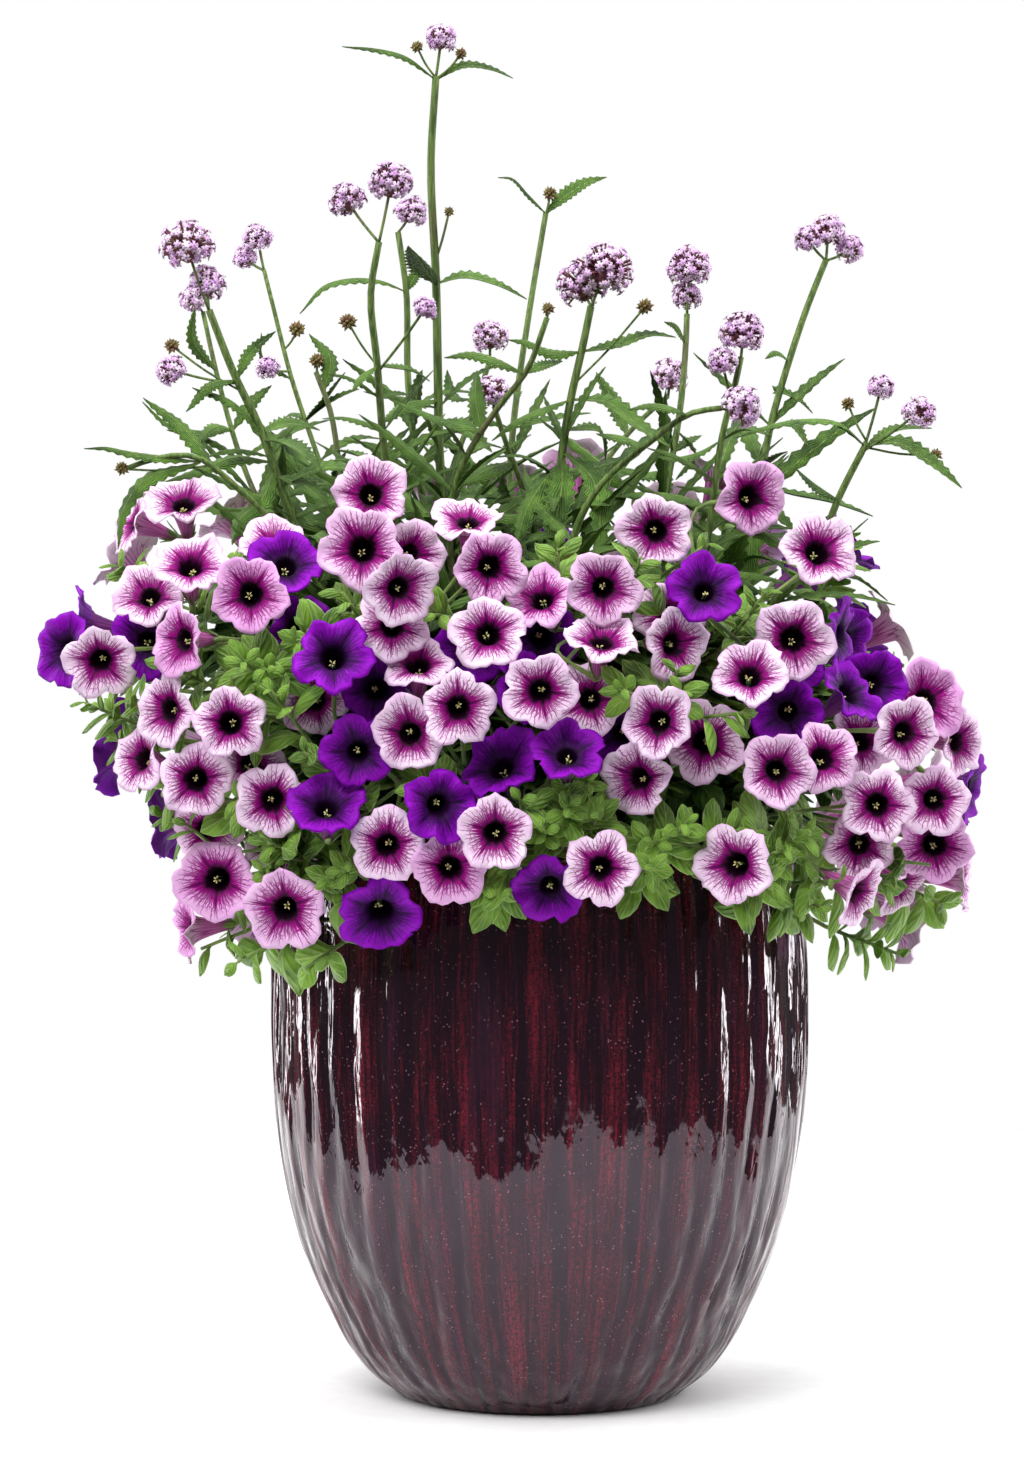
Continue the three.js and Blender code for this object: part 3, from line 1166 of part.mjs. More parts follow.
// A leafy shoot: a stalk whose tip is a thin three-sided plate, with a leaf on each side of it.
function shootSolid(foot, end, out, spin, leaves) {
  const d = drawing();
  const dir = unit(sub(end, foot));
  const [u0, v0] = across(out);
  const u = add(mul(u0, Math.cos(spin)), mul(v0, Math.sin(spin)));
  const w = unit(carried(u, out, dir));
  const ring = (at, axis, start, radius) => d.ring([0, 1, 2].map((i) => {
    const a = (i / 3) * 2 * Math.PI;
    return add(at, add(mul(start, Math.cos(a) * radius), mul(cross(axis, start), Math.sin(a) * radius)));
  }));
  const low = ring(foot, dir, w, 1.8);
  const under = ring(end, out, u, 1.7);
  const over = ring(add(end, mul(out, 0.8)), out, u, 1.7);
  d.faces(fan(low));
  d.faces(bridge(low, under));
  d.faces(lid(over));
  [0, 1, 2].forEach((k) => {
    const m = (k + 1) % 3;
    let last = [under[k], under[m], over[m], over[k]];
    const leaf = leaves[k];
    if (!leaf) {
      d.faces([[last[0], last[1], last[2]], [last[0], last[2], last[3]]]);
      return;
    }
    leaf.path.slice(1, 3).forEach((p, i) => {
      const lift = leaf.halves[i] * (i ? 0.2 : 0.35);
      const edge = (sign, up) => add(add(p, mul(leaf.side, sign * leaf.halves[i])), mul(out, lift + up));
      const next = d.ring([edge(-1, 0), edge(1, 0), edge(1, 0.8), edge(-1, 0.8)]);
      d.faces(bridge(last, next));
      last = next;
    });
    const [tip] = d.ring([add(leaf.path[3], mul(out, 0.4))]);
    last.forEach((id, i) => d.faces([[id, last[(i + 1) % 4], tip]]));
  });
  return d.done();
}

// The path, half widths and sideways direction of a shoot's leaf k.
function shootLeaf(end, out, spin, k, reach, rise, droop) {
  const [u0, v0] = across(out);
  const a = spin + ((k + 0.5) / 3) * 2 * Math.PI;
  const away = add(mul(u0, Math.cos(a)), mul(v0, Math.sin(a)));
  const side = add(mul(u0, -Math.sin(a)), mul(v0, Math.cos(a)));
  const dir = unit(add(away, mul(out, rise)));
  const at = (share, drop) => add(add(end, mul(dir, reach * share)), [0, 0, -droop * drop]);
  return { path: [end, at(0.36, 0), at(0.72, 0.4), at(1, 1)], halves: [reach * 0.26, reach * 0.23], side };
}

const shootTips = FRONT_SHOOTS.map(([px, py]) => {
  const p = onMound(px, py);
  return { tip: p, out: unit([p[0] * 0.6, p[1], 30]) };
});
for (let k = 0; k < BACK_SHOOTS; k++) {
  const angle = (5 + (170 * (k + chance())) / BACK_SHOOTS) * TURN;
  const tip = roundMound(angle, 290 + 335 * ((k * 0.618 + 0.2) % 1));
  shootTips.push({ tip, out: unit([tip[0], tip[1], 50]) });
}

// Tries places for a shoot's stalk, then turns it until as many of its leaves fit as can.
const shoots = [];
shootTips.forEach(({ tip, out }) => {
  const angle = Math.atan2(tip[1], tip[0]);
  const plant = plantOf(tip);
  const reach = 36 + 12 * chance();
  const rise = 0.1 + 0.4 * chance();
  let best = null;
  for (const back of [2, 12, 22, 32]) {
    for (const dz of [0, 24, -24, 48, 72]) {
      const end = add(tip, mul(out, -back));
      const z = Math.min(Math.max(tip[2] - 15, 404), 508) + dz;
      if (z > 514 || z < 400) continue;
      const r = coreReach(CORE_OUTSIDE, angle, z);
      const foot = [Math.cos(angle) * (r - 22), Math.sin(angle) * (r - 22), z];
      const skin = [Math.cos(angle) * (r * 1.04 + 3), Math.sin(angle) * (r * 1.04 + 3), z];
      if (plantOf(foot) !== plant || hits([skin, end], 1.7, plant, []) > 0) continue;
      for (let turn = 0; turn < 6; turn++) {
        const spin = turn * 0.35;
        const leaves = [0, 1, 2].map((k) => {
          const leaf = shootLeaf(end, out, spin, k, reach, rise, 6);
          const wide = [1, -1].flatMap((m) => leaf.halves.map((half, i) => {
            return add(leaf.path[i + 1], mul(leaf.side, m * half));
          }));
          if (![...leaf.path, ...wide].every((p) => nearPlant(p, plant))) return null;
          if ([...leaf.path.slice(1), ...wide].some((p) => inCore(p, 2))) return null;
          return leafFits(leaf.path, leaf.halves, leaf.side, plant) ? leaf : null;
        });
        const count = leaves.filter((leaf) => leaf).length;
        if (!best || count > best.count) best = { foot, end, spin, leaves, count };
        if (count === 3) break;
      }
      if (best && best.count === 3) break;
    }
    if (best && best.count === 3) break;
  }
  if (!best || best.count === 0) return;
  const others = [...nodes.map((n) => n.made), ...stemSolids, ...headNodes];
  plants.filter((p) => p !== plant).forEach((p) => others.push(...p.pieces));
  best.leaves = best.leaves.map((leaf, k) => {
    const alone = best.leaves.map((other, m) => (m === k ? leaf : null));
    return leaf && !touches(shootSolid(best.foot, best.end, out, best.spin, alone), others) ? leaf : null;
  });
  best.count = best.leaves.filter((leaf) => leaf).length;
  if (best.count === 0) return;
  shoots.push(best);
  plant.pieces.push(shootSolid(best.foot, best.end, out, best.spin, best.leaves));
  keep([best.foot, best.end], 1.8, plant);
  best.leaves.filter((leaf) => leaf).forEach((leaf) => keep(leaf.path, 6, plant));
});

// Leaves that stand out of the core wherever there is room.
let coreLeaves = 0;
for (let k = 0; k < 400 && coreLeaves < CORE_LEAVES; k++) {
  const angle = k * 2.39996;
  const z = 398 + 118 * ((k * 0.618) % 1);
  const plant = plantOf([Math.cos(angle), Math.sin(angle)]);
  const r = coreReach(CORE_OUTSIDE, angle, z);
  const out = [Math.cos(angle), Math.sin(angle), 0];
  const around = [-Math.sin(angle), Math.cos(angle), 0];
  const turn = 6.28 * chance();
  const lean = add(mul(around, Math.cos(turn)), [0, 0, Math.sin(turn)]);
  const dir = unit(add(mul(out, 0.75), lean));
  const side = unit(cross(dir, out));
  const reach = 48 + 10 * chance();
  const base = add(mul(out, r - 20), [0, 0, z]);
  const path = [base, add(base, mul(dir, reach * 0.55)), add(base, mul(dir, reach))];
  const halves = [reach * 0.28];
  const wide = [1, -1].map((m) => add(path[1], mul(side, m * halves[0])));
  if (![...path, ...wide].every((p) => nearPlant(p, plant))) continue;
  if (wide.some((p) => inCore(p, 1)) || !leafFits(path, halves, side, plant)) continue;
  const made = leafSolid(path, halves, 0.3, 0.9, side);
  const others = [...nodes.map((n) => n.made), ...stemSolids, ...headNodes, ...plant.pieces.slice(2)];
  if (touches(made, others)) continue;
  plant.pieces.push(made);
  coreLeaves += 1;
}

// The soil: a low mound with a plain hole for each plant's foot.
const earth = turned([[0, 16.6], [95.4, 16.6], [171.4, 245], [167, 345], [60, SOIL_TOP], [0, SOIL_TOP]], 28);

const group = new THREE.Group();
function meshOf(made) {
  const m = made.getMesh();
  const g = new THREE.BufferGeometry();
  g.setAttribute("position", new THREE.BufferAttribute(new Float32Array(m.vertProperties), 3));
  g.setIndex(new THREE.BufferAttribute(new Uint32Array(m.triVerts), 1));
  return g;
}
node("soil", earth.subtract(fuse(rootHoles)), EARTH);
plants.forEach((p, k) => {
  node("petunia_plant_" + (k + 1), fuse(p.pieces).subtract(fuse(roots)), LEAF_GREEN);
});
Object.entries(verbena).forEach(([k, pieces]) => node("verbena_plant_" + k, fuse(pieces), STEM_GREEN));
headNodes.forEach((made, k) => node("verbena_heads_" + String(k + 1).padStart(2, "0"), made, LAVENDER));
for (const { name, made, look } of nodes) {
  const mesh = new THREE.Mesh(meshOf(made), new THREE.MeshStandardMaterial(look));
  mesh.name = name;
  group.add(mesh);
}
export default group;
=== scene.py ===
# %% [markdown]
# # A pot of petunias and verbena, dressed for its picture
# The fixed frame is a faceted model: a ribbed pot, its soil, six petunia plants with sprays of blooms and
# three verbena plants. This lesson gives each of them its real surface. The frame is loaded first, because
# every piece below reads its place from it. The dressed part may hardly outgrow it.

import math

import bpy
import numpy as np
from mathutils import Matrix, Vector
from mathutils.bvhtree import BVHTree


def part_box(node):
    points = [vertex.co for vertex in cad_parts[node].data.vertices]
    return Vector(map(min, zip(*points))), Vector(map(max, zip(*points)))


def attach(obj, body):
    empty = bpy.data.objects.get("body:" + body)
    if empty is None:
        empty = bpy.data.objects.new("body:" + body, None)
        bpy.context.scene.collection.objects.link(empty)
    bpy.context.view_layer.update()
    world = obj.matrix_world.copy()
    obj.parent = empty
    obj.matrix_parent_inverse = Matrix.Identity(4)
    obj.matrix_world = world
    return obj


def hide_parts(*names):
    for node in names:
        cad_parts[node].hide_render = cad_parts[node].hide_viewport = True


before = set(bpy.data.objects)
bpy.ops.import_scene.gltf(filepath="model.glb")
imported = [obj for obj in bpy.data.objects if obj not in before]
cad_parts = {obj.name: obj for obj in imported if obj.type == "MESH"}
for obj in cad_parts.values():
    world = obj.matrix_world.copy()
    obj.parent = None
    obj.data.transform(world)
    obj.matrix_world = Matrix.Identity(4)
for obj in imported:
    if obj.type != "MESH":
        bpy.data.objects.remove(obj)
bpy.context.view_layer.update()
MM = 0.001
TAU = 2 * math.pi

# %% [markdown]
# ## The camera
# The photographer stood about three and a half metres away with the lens near the height of the mound's
# top, and kept the lens level, so that the pot's sides don't lean. A level camera that shows more below
# than above is a shifted one, as on a view camera. The helper gives the point in space that a pixel of
# the photograph shows at a chosen depth, and all measured places go through it.

# %% Camera
VIEW_FAR, VIEW_HIGH, VIEW_SIDE, PIXEL = 3.5, 0.62, -0.019, 0.0007
WIDE, TALL, HORIZON = 1024, 1466, 504


def seen(px, py, y):
    """The point in metres that pixel (px, py) shows at depth y."""
    k = PIXEL * (VIEW_FAR + y) / VIEW_FAR
    return np.array([VIEW_SIDE + (px - WIDE / 2) * k, y, VIEW_HIGH + (HORIZON - py) * k])


view = bpy.data.cameras.new("view")
view.sensor_width = 36
view.lens = 36 * VIEW_FAR / (TALL * PIXEL)
view.shift_y = (HORIZON - TALL / 2) / TALL
view.clip_start, view.clip_end = 0.1, 60
camera = bpy.data.objects.new("view", view)
camera.location = (VIEW_SIDE, -VIEW_FAR, VIEW_HIGH)
camera.rotation_euler = (math.pi / 2, 0, 0)
bpy.context.scene.collection.objects.link(camera)
bpy.context.scene.camera = camera
bpy.context.scene.view_settings.view_transform = "Standard"
print("lens", round(view.lens, 1), "shift", round(view.shift_y, 3))

# %% [markdown]
# ## Mixing finishes
# A finish here is a small network of nodes. Colours are given as they look on a screen and turned into
# light amounts, which is what the shader reckons with.

# %% Paint and nodes
def paint(red, green, blue):
    """A colour given in screen numbers from 0 to 255, as light amounts."""
    parts = [c / 255 for c in (red, green, blue)]
    return tuple(c / 12.92 if c <= 0.04045 else ((c + 0.055) / 1.055) ** 2.4 for c in parts) + (1.0,)


def feed(tree, socket, value):
    """Links an input to the output it reads, or sets its number."""
    if isinstance(value, bpy.types.NodeSocket):
        tree.links.new(value, socket)
    else:
        socket.default_value = value


def add_node(tree, kind, inputs=(), **settings):
    """Adds a node to a tree, with its settings and its inputs."""
    made = tree.nodes.new(kind)
    for key, value in settings.items():
        setattr(made, key, value)
    for slot, value in inputs:
        feed(tree, made.inputs[slot], value)
    return made


print("middle grey as light", round(paint(128, 128, 128)[0], 3))

# %% [markdown]
# Wiring nodes by hand takes many lines, so a little mixing bench does it: each of its tools adds one node
# and hands back the socket to go on with.

# %% The mixing bench
class Bench:
    """A finish being mixed. Each tool adds one node and returns its output."""

    def __init__(self, name):
        self.finish = bpy.data.materials.new(name)
        self.finish.use_nodes = True
        self.tree = self.finish.node_tree
        self.skin = self.tree.nodes["Principled BSDF"]

    def node(self, kind, inputs=(), **settings):
        return add_node(self.tree, kind, inputs, **settings)

    def reckon(self, kind, *numbers):
        """One sum, of the kind that the maths node names."""
        return self.node("ShaderNodeMath", enumerate(numbers), operation=kind).outputs[0]

    def times(self, a, b):
        return self.reckon("MULTIPLY", a, b)

    def plus(self, a, b):
        return self.reckon("ADD", a, b)

    def times_plus(self, a, b, c):
        """a times b, plus c."""
        return self.reckon("MULTIPLY_ADD", a, b, c)

    def over(self, a, b):
        return self.reckon("DIVIDE", a, b)

    def larger(self, a, b):
        return self.reckon("MAXIMUM", a, b)

    def step(self, value, low, high, a=0.0, b=1.0):
        """A soft step: a below low, b above high."""
        inputs = [(0, value), (1, low), (2, high), (3, a), (4, b)]
        return self.node("ShaderNodeMapRange", inputs, interpolation_type="SMOOTHSTEP").outputs[0]

    def mix(self, share, a, b):
        """Colour a, with its share of colour b."""
        inputs = [(0, share), (6, a), (7, b)]
        return self.node("ShaderNodeMix", inputs, data_type="RGBA", clamp_factor=True).outputs[2]

    def painted(self):
        """The three numbers painted on the piece's points."""
        vector = self.node("ShaderNodeAttribute", attribute_name="place").outputs["Vector"]
        parts = self.node("ShaderNodeSeparateXYZ", [(0, vector)]).outputs
        return parts[0], parts[1], parts[2]

    def joined(self, x, y, z):
        return self.node("ShaderNodeCombineXYZ", [(0, x), (1, y), (2, z)]).outputs[0]

    def length(self, x, y):
        flat = self.joined(x, y, 0.0)
        return self.node("ShaderNodeVectorMath", [(0, flat)], operation="LENGTH").outputs["Value"]

    def noise(self, where, scale, detail=2.0, rough=0.5, twist=0.0):
        inputs = [("Vector", where), ("Scale", scale), ("Detail", detail), ("Roughness", rough)]
        inputs.append(("Distortion", twist))
        return self.node("ShaderNodeTexNoise", inputs).outputs[0]

    def cells(self, where, scale, feature="F1"):
        inputs = [("Vector", where), ("Scale", scale)]
        return self.node("ShaderNodeTexVoronoi", inputs, feature=feature).outputs[0]

    def place(self):
        """The place in the piece, in metres."""
        return self.node("ShaderNodeTexCoord").outputs["Object"]

    def stretched(self, where, share):
        """A place whose patterns are drawn out along the height."""
        return self.node("ShaderNodeMapping", [(0, where), (3, (1, 1, share))]).outputs[0]

    def bump(self, height, strength, depth, before=None):
        inputs = [("Strength", strength), ("Distance", depth), ("Height", height)]
        if before is not None:
            inputs.append(("Normal", before))
        return self.node("ShaderNodeBump", inputs).outputs[0]

    def done(self, colour, rough, normal, **sockets):
        """Wires the skin. Numbers that are the same all over go on its own sockets."""
        values = {"Base Color": colour, "Roughness": rough, "Normal": normal}
        values.update({key.replace("_", " "): value for key, value in sockets.items()})
        for key, value in values.items():
            feed(self.tree, self.skin.inputs[key], value)
        return self.finish


print("bench ready")

# %% [markdown]
# ## The floor
# The picture was taken in a white room: white behind and above, a pale floor, and a darker front where the
# photographer stood. A glossy pot mirrors all of it. The pale floor ends a little way before the pot, as the
# studio's paper did, and the mirrored edge of that arc is the line below which the glaze looks pale. It ends
# behind and beside the pot too, because a floor that is mirrored at a glancing angle would draw broad grey
# bands down the pot's flanks.

# %% Floor
FLOOR_FRONT, FLOOR_SIDE, FLOOR_BACK = 0.77, 1.45, 1.55
FLOOR_Z, FLOOR_POINTS, FLOOR_RINGS = -0.0004, 96, (0.25, 0.5, 0.75, 1.0)


def paper_sheet(name):
    """A round sheet whose edge is near the pot in front and further off at the sides and behind."""
    turns = np.linspace(0, TAU, FLOOR_POINTS, endpoint=False)
    off = np.degrees(np.abs((turns + math.pi / 2 + math.pi) % TAU - math.pi))
    reach = np.interp(off, [0, 96, 112, 180], [FLOOR_FRONT, FLOOR_FRONT, FLOOR_SIDE, FLOOR_BACK])
    points = [(0.0, 0.0, FLOOR_Z)]
    for share in FLOOR_RINGS:
        points += [(r * share * math.cos(t), r * share * math.sin(t), FLOOR_Z) for t, r in zip(turns, reach)]
    faces = [(0, 1 + k, 1 + (k + 1) % FLOOR_POINTS) for k in range(FLOOR_POINTS)]
    for ring in range(len(FLOOR_RINGS) - 1):
        a = 1 + FLOOR_POINTS * ring
        b = a + FLOOR_POINTS
        for k in range(FLOOR_POINTS):
            beyond = (k + 1) % FLOOR_POINTS
            faces.append((a + k, b + k, b + beyond, a + beyond))
    mesh = bpy.data.meshes.new(name)
    mesh.from_pydata(points, [], faces)
    made = bpy.data.objects.new(name, mesh)
    bpy.context.scene.collection.objects.link(made)
    return made


bench = Bench("floor_paper")
grain = bench.noise(bench.place(), 60, 3)
pale = bench.mix(bench.step(grain, 0.4, 0.6), paint(247, 247, 248), paint(250, 250, 250))
paper = bench.done(pale, 0.75, bench.bump(grain, 0.05, 0.0005))
floor = paper_sheet("floor")
floor.data.materials.append(paper)
print("floor points", len(floor.data.vertices))

# %% [markdown]
# ## The room's own light
# Flowers gather light from everywhere, but the glaze mirrors single places of the room, so one sky can't
# suit both. The nodes ask what kind of ray looks at the sky. A mirrored ray finds a dark room with a white
# ceiling, a white wall straight behind and a narrow white ring round that wall, which draws the crisp
# streaks at the pot's sides. A ray from a petal or leaf finds a soft ceiling and a soft far half of the
# room. The camera finds plain white.

# %% Sky
room = bpy.data.worlds.new("room")
bpy.context.scene.world = room
room.use_nodes = True
tree = room.node_tree
tree.nodes.clear()


def ramp(value, low, high, a=0.0, b=1.0):
    """A straight ramp: a up to low, b from high."""
    inputs = [(0, value), (1, low), (2, high), (3, a), (4, b)]
    return add_node(tree, "ShaderNodeMapRange", inputs).outputs[0]


def of_both(kind, a, b):
    return add_node(tree, "ShaderNodeMath", [(0, a), (1, b)], operation=kind).outputs[0]


def white_light(amount):
    return add_node(tree, "ShaderNodeBackground", [(0, (1, 1, 1, 1)), (1, amount)]).outputs[0]


def one_or_other(which, a, b):
    return add_node(tree, "ShaderNodeMixShader", [(0, which), (1, a), (2, b)]).outputs[0]


direction = add_node(tree, "ShaderNodeTexCoord").outputs["Generated"]
parts = add_node(tree, "ShaderNodeSeparateXYZ", [(0, direction)]).outputs
to_back, to_top = parts[1], parts[2]
ceiling = ramp(to_top, 0.35, 0.7)
band = of_both("MULTIPLY", ramp(to_back, 0.44, 0.48), ramp(to_back, 0.56, 0.6, 1.0, 0.0))
walls = of_both("MAXIMUM", band, ramp(to_back, 0.9, 0.94, 0.06, 0.9))
far_half = of_both("MULTIPLY", ramp(to_back, 0.22, 0.34), 0.6)
mirrored = white_light(ramp(of_both("MAXIMUM", walls, ceiling), 0.0, 1.0, 0.03, 1.12))
gathered = white_light(ramp(of_both("MAXIMUM", far_half, ceiling), 0.0, 1.0, 0.03, 1.26))
ray = add_node(tree, "ShaderNodeLightPath").outputs
on_things = one_or_other(ray["Is Diffuse Ray"], mirrored, gathered)
sky = one_or_other(ray["Is Camera Ray"], on_things, white_light(1.0))
add_node(tree, "ShaderNodeOutputWorld", [(0, sky)])
print("sky nodes", len(tree.nodes))

# %% [markdown]
# ## The lamps
# A large soft lamp above the front and two weaker ones at the sides light the flowers. One overhead lights
# the paper, and two tall strips behind the pot's sides add a white line along each flank.

# %% Lamps
def soft_lamp(name, place, target, wide, tall, power):
    """A glowing rectangle that faces a point and can't be seen itself."""
    lamp = bpy.data.lights.new(name, "AREA")
    lamp.shape, lamp.size, lamp.size_y, lamp.energy = "RECTANGLE", wide, tall, power
    made = bpy.data.objects.new(name, lamp)
    made.location = place
    aim = np.array(target) - np.array(place)
    made.rotation_euler = Vector(aim).to_track_quat("-Z", "Y").to_euler()
    made.visible_camera = False
    bpy.context.scene.collection.objects.link(made)


soft_lamp("lamp_front", (-0.9, -2.3, 2.6), (0, 0, 0.5), 1.8, 1.2, 60)
soft_lamp("lamp_left", (-2.6, -1.0, 1.9), (0, 0, 0.5), 1.0, 1.6, 22)
soft_lamp("lamp_right", (2.6, -1.2, 1.9), (0, 0, 0.5), 1.0, 1.6, 22)
soft_lamp("strip_left", (-1.9, 0.95, 0.75), (0, 0, 0.45), 0.34, 2.2, 22)
soft_lamp("strip_right", (1.9, 0.95, 0.75), (0, 0, 0.45), 0.34, 2.2, 22)
soft_lamp("lamp_top", (0, 0.4, 3.2), (0, 0.2, 0), 2.6, 2.6, 46)

# %% [markdown]
# ## Gathering small parts into one piece
# A spray of flowers is hundreds of small closed shells. Making an object of each would be slow, so their
# points and faces are piled up and become one object. Each point also carries three painted numbers, its
# place on the petal or leaf it belongs to, from which the finishes draw veins and edges.

# %% Piles of points and faces
class Pile:
    """Points, faces, painted numbers and finish numbers of many small shells."""

    def __init__(self):
        self.points, self.faces, self.painted, self.finish = [], [], [], []
        self.count = 0

    def add(self, points, faces, painted, finish=0):
        """Adds one shell. Its faces come in groups, by their number of corners."""
        self.points.append(points)
        self.painted.append(np.broadcast_to(painted, points.shape))
        for group in faces:
            if len(group):
                self.faces.append(np.asarray(group) + self.count)
                self.finish.append(np.full(len(group), finish))
        self.count += len(points)

    def piece(self, name, finishes):
        """Makes the pile into one smooth object with the given finishes."""
        points = np.concatenate(self.points).astype(np.float32)
        corners = np.concatenate([f.ravel() for f in self.faces]).astype(np.int32)
        sizes = np.concatenate([np.full(len(f), f.shape[1]) for f in self.faces])
        starts = np.concatenate([[0], np.cumsum(sizes)[:-1]]).astype(np.int32)
        mesh = bpy.data.meshes.new(name)
        mesh.vertices.add(len(points))
        mesh.vertices.foreach_set("co", points.ravel())
        mesh.loops.add(len(corners))
        mesh.loops.foreach_set("vertex_index", corners)
        mesh.polygons.add(len(sizes))
        mesh.polygons.foreach_set("loop_start", starts)
        mesh.polygons.foreach_set("material_index", np.concatenate(self.finish).astype(np.int32))
        mesh.update(calc_edges=True)
        numbers = mesh.attributes.new("place", "FLOAT_VECTOR", "POINT")
        numbers.data.foreach_set("vector", np.concatenate(self.painted).astype(np.float32).ravel())
        mesh.shade_smooth()
        for finish in finishes:
            mesh.materials.append(finish)
        made = bpy.data.objects.new(name, mesh)
        bpy.context.scene.collection.objects.link(made)
        return made


def dressed(piece, node):
    """Sets a finished piece on the part's one body, in the place of a node of the frame."""
    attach(piece, "root")
    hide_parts(node)
    return sum(len(p.vertices) - 2 for p in piece.data.polygons)


def grid_faces(rows, across, closed=True):
    """The four-sided faces between rows of points that follow each other in a list."""
    last = across if closed else across - 1
    i, j = np.meshgrid(np.arange(last), np.arange(rows - 1))
    a, b = j * across + i, j * across + (i + 1) % across
    return np.stack([a, b, b + across, a + across], axis=-1).reshape(-1, 4)


def unit(v):
    return v / np.linalg.norm(v)


triangles = 0
print("pile ready")

# %% [markdown]
# ## The pot
# The real pot is thrown, then fluted by hand: round ribs with narrow grooves between them, which wander a
# little towards the foot. Glaze runs thin over the ribs and pools in the grooves. It could be a turned
# shape with a bump pattern, but the ribs also show in the outline and break up the reflections, so they
# are real. A profile is turned, and every point moves in by the depth of the groove at its angle.

# %% Pot shape
RIBS, RIB_DEPTH = 46, 0.0027
SIDE = np.array([
    [0, 97], [2, 101], [5, 104.5], [12, 114], [35, 134], [63, 148.5], [105, 166.3], [133, 174.3],
    [161, 180], [189, 183.8], [217, 186.2], [245, 187.6], [275, 187.8], [329, 186.2], [360, 184],
    [379, 182.4],
]) * MM
LIP = np.array([
    [383, 181.4], [385, 179], [385.3, 175], [385, 170.5], [382, 167.6], [345, 168.4], [300, 170.6],
]) * MM
AROUND, ROWS = RIBS * 8, 88


def smooth_between(knots, values, x):
    """A smooth curve through rows of values."""
    slopes = np.gradient(values, knots)
    k = np.clip(np.searchsorted(knots, x) - 1, 0, len(knots) - 2)
    h = knots[k + 1] - knots[k]
    t = (x - knots[k]) / h
    ease = t * t * (3 - 2 * t)
    start, end = t * (1 - t) ** 2, t * t * (t - 1)
    return values[k] * (1 - ease) + values[k + 1] * ease + h * (start * slopes[k] + end * slopes[k + 1])


def pot_wall():
    """The outside's points by height and angle, how far on a rib's crest each is, and the angles."""
    heights = SIDE[-1, 0] * np.linspace(0, 1, ROWS) ** 1.15
    radii = smooth_between(SIDE[:, 0], SIDE[:, 1], heights)[:, None]
    turn = np.linspace(0, TAU, AROUND, endpoint=False)[None, :]
    z = heights[:, None]
    low = np.clip(1 - z / 0.2, 0, 1)
    rib = turn / TAU * RIBS
    index = np.floor(rib).astype(int) % RIBS
    wander = 0.16 * np.sin(z * 31 + 2.3 * np.sin(turn * 3))
    wander = wander + 0.10 * np.sin(z * 67 + 5 * np.sin(turn * 5 + 1))
    swing = rib + wander * (0.35 + 0.9 * low)
    share = swing - np.floor(swing)
    crest = np.sin(np.pi * share) ** 0.75
    depth = RIB_DEPTH * (0.72 + 0.25 * np.sin(index * 2.4) ** 2) * np.clip(z / 0.012 + 0.35, 0, 1)
    depth = depth * np.clip((0.392 - z) / 0.03, 0.35, 1)
    swell = 0.0006 * np.sin(z * 24 + 4 * np.sin(turn * 2 + 0.7)) * np.sin(turn * 7 + z * 9)
    swell = swell + 0.00045 * np.sin(turn * 13 + z * 17) * np.sin(z * 41 + 3 * np.sin(turn * 4))
    reach = radii - depth * (1 - crest) + swell
    points = np.stack([reach * np.cos(turn), reach * np.sin(turn), z + 0 * turn], axis=-1)
    numbers = np.stack([np.cos(turn) + 0 * crest, np.sin(turn) + 0 * crest, crest + 0 * reach], axis=-1)
    return points, numbers, turn[0]


def ring_at(reach, turn, z, shine):
    """A ring of points round the pot's axis, with the numbers painted on them."""
    ring = np.stack([reach * np.cos(turn), reach * np.sin(turn), np.full(AROUND, z)], axis=-1)
    return ring, np.stack([np.cos(turn), np.sin(turn), np.full(AROUND, shine)], axis=-1)


wall, wall_numbers, turn = pot_wall()
pot_rings = [(wall.reshape(-1, 3), wall_numbers.reshape(-1, 3))]
top = np.linalg.norm(wall[-1, :, :2], axis=1)
# The ribs fade out over the first two rings of the lip.
for step, (z, r) in enumerate(LIP):
    ribbed = max(0.0, 1 - (step + 1) / 3)
    pot_rings.append(ring_at(r + (top - SIDE[-1, 1]) * ribbed, turn, z, 0.8))
print("rings of the pot's outside and lip", ROWS + len(LIP))

# %% [markdown]
# Inside, the wall goes on down below the soil, and three drain holes go through the bottom. The bottom is
# a flat plate. Its outline and holes are drawn as circles and filled with triangles between them.

# %% Pot inside and bottom
from mathutils.geometry import delaunay_2d_cdt

WELL = np.array([[245, 171.4], [115, 155.6], [40, 112], [16.6, 95.6]]) * MM
PLATE_R, DRAIN_R, DRAIN_OFF = 0.0962, 0.009, 0.055
PLATE_LOW, PLATE_HIGH = 0.0002, 0.0166
for z, r in WELL:
    pot_rings.append(ring_at(r, turn, z, 0.0))
pot_points, pot_numbers = (np.concatenate(rows) for rows in zip(*pot_rings))
pot_faces = grid_faces(ROWS + len(LIP) + len(WELL), AROUND)


def circle(x, y, r, count):
    a = np.linspace(0, TAU, count, endpoint=False)
    return np.stack([x + r * np.cos(a), y + r * np.sin(a)], axis=-1)


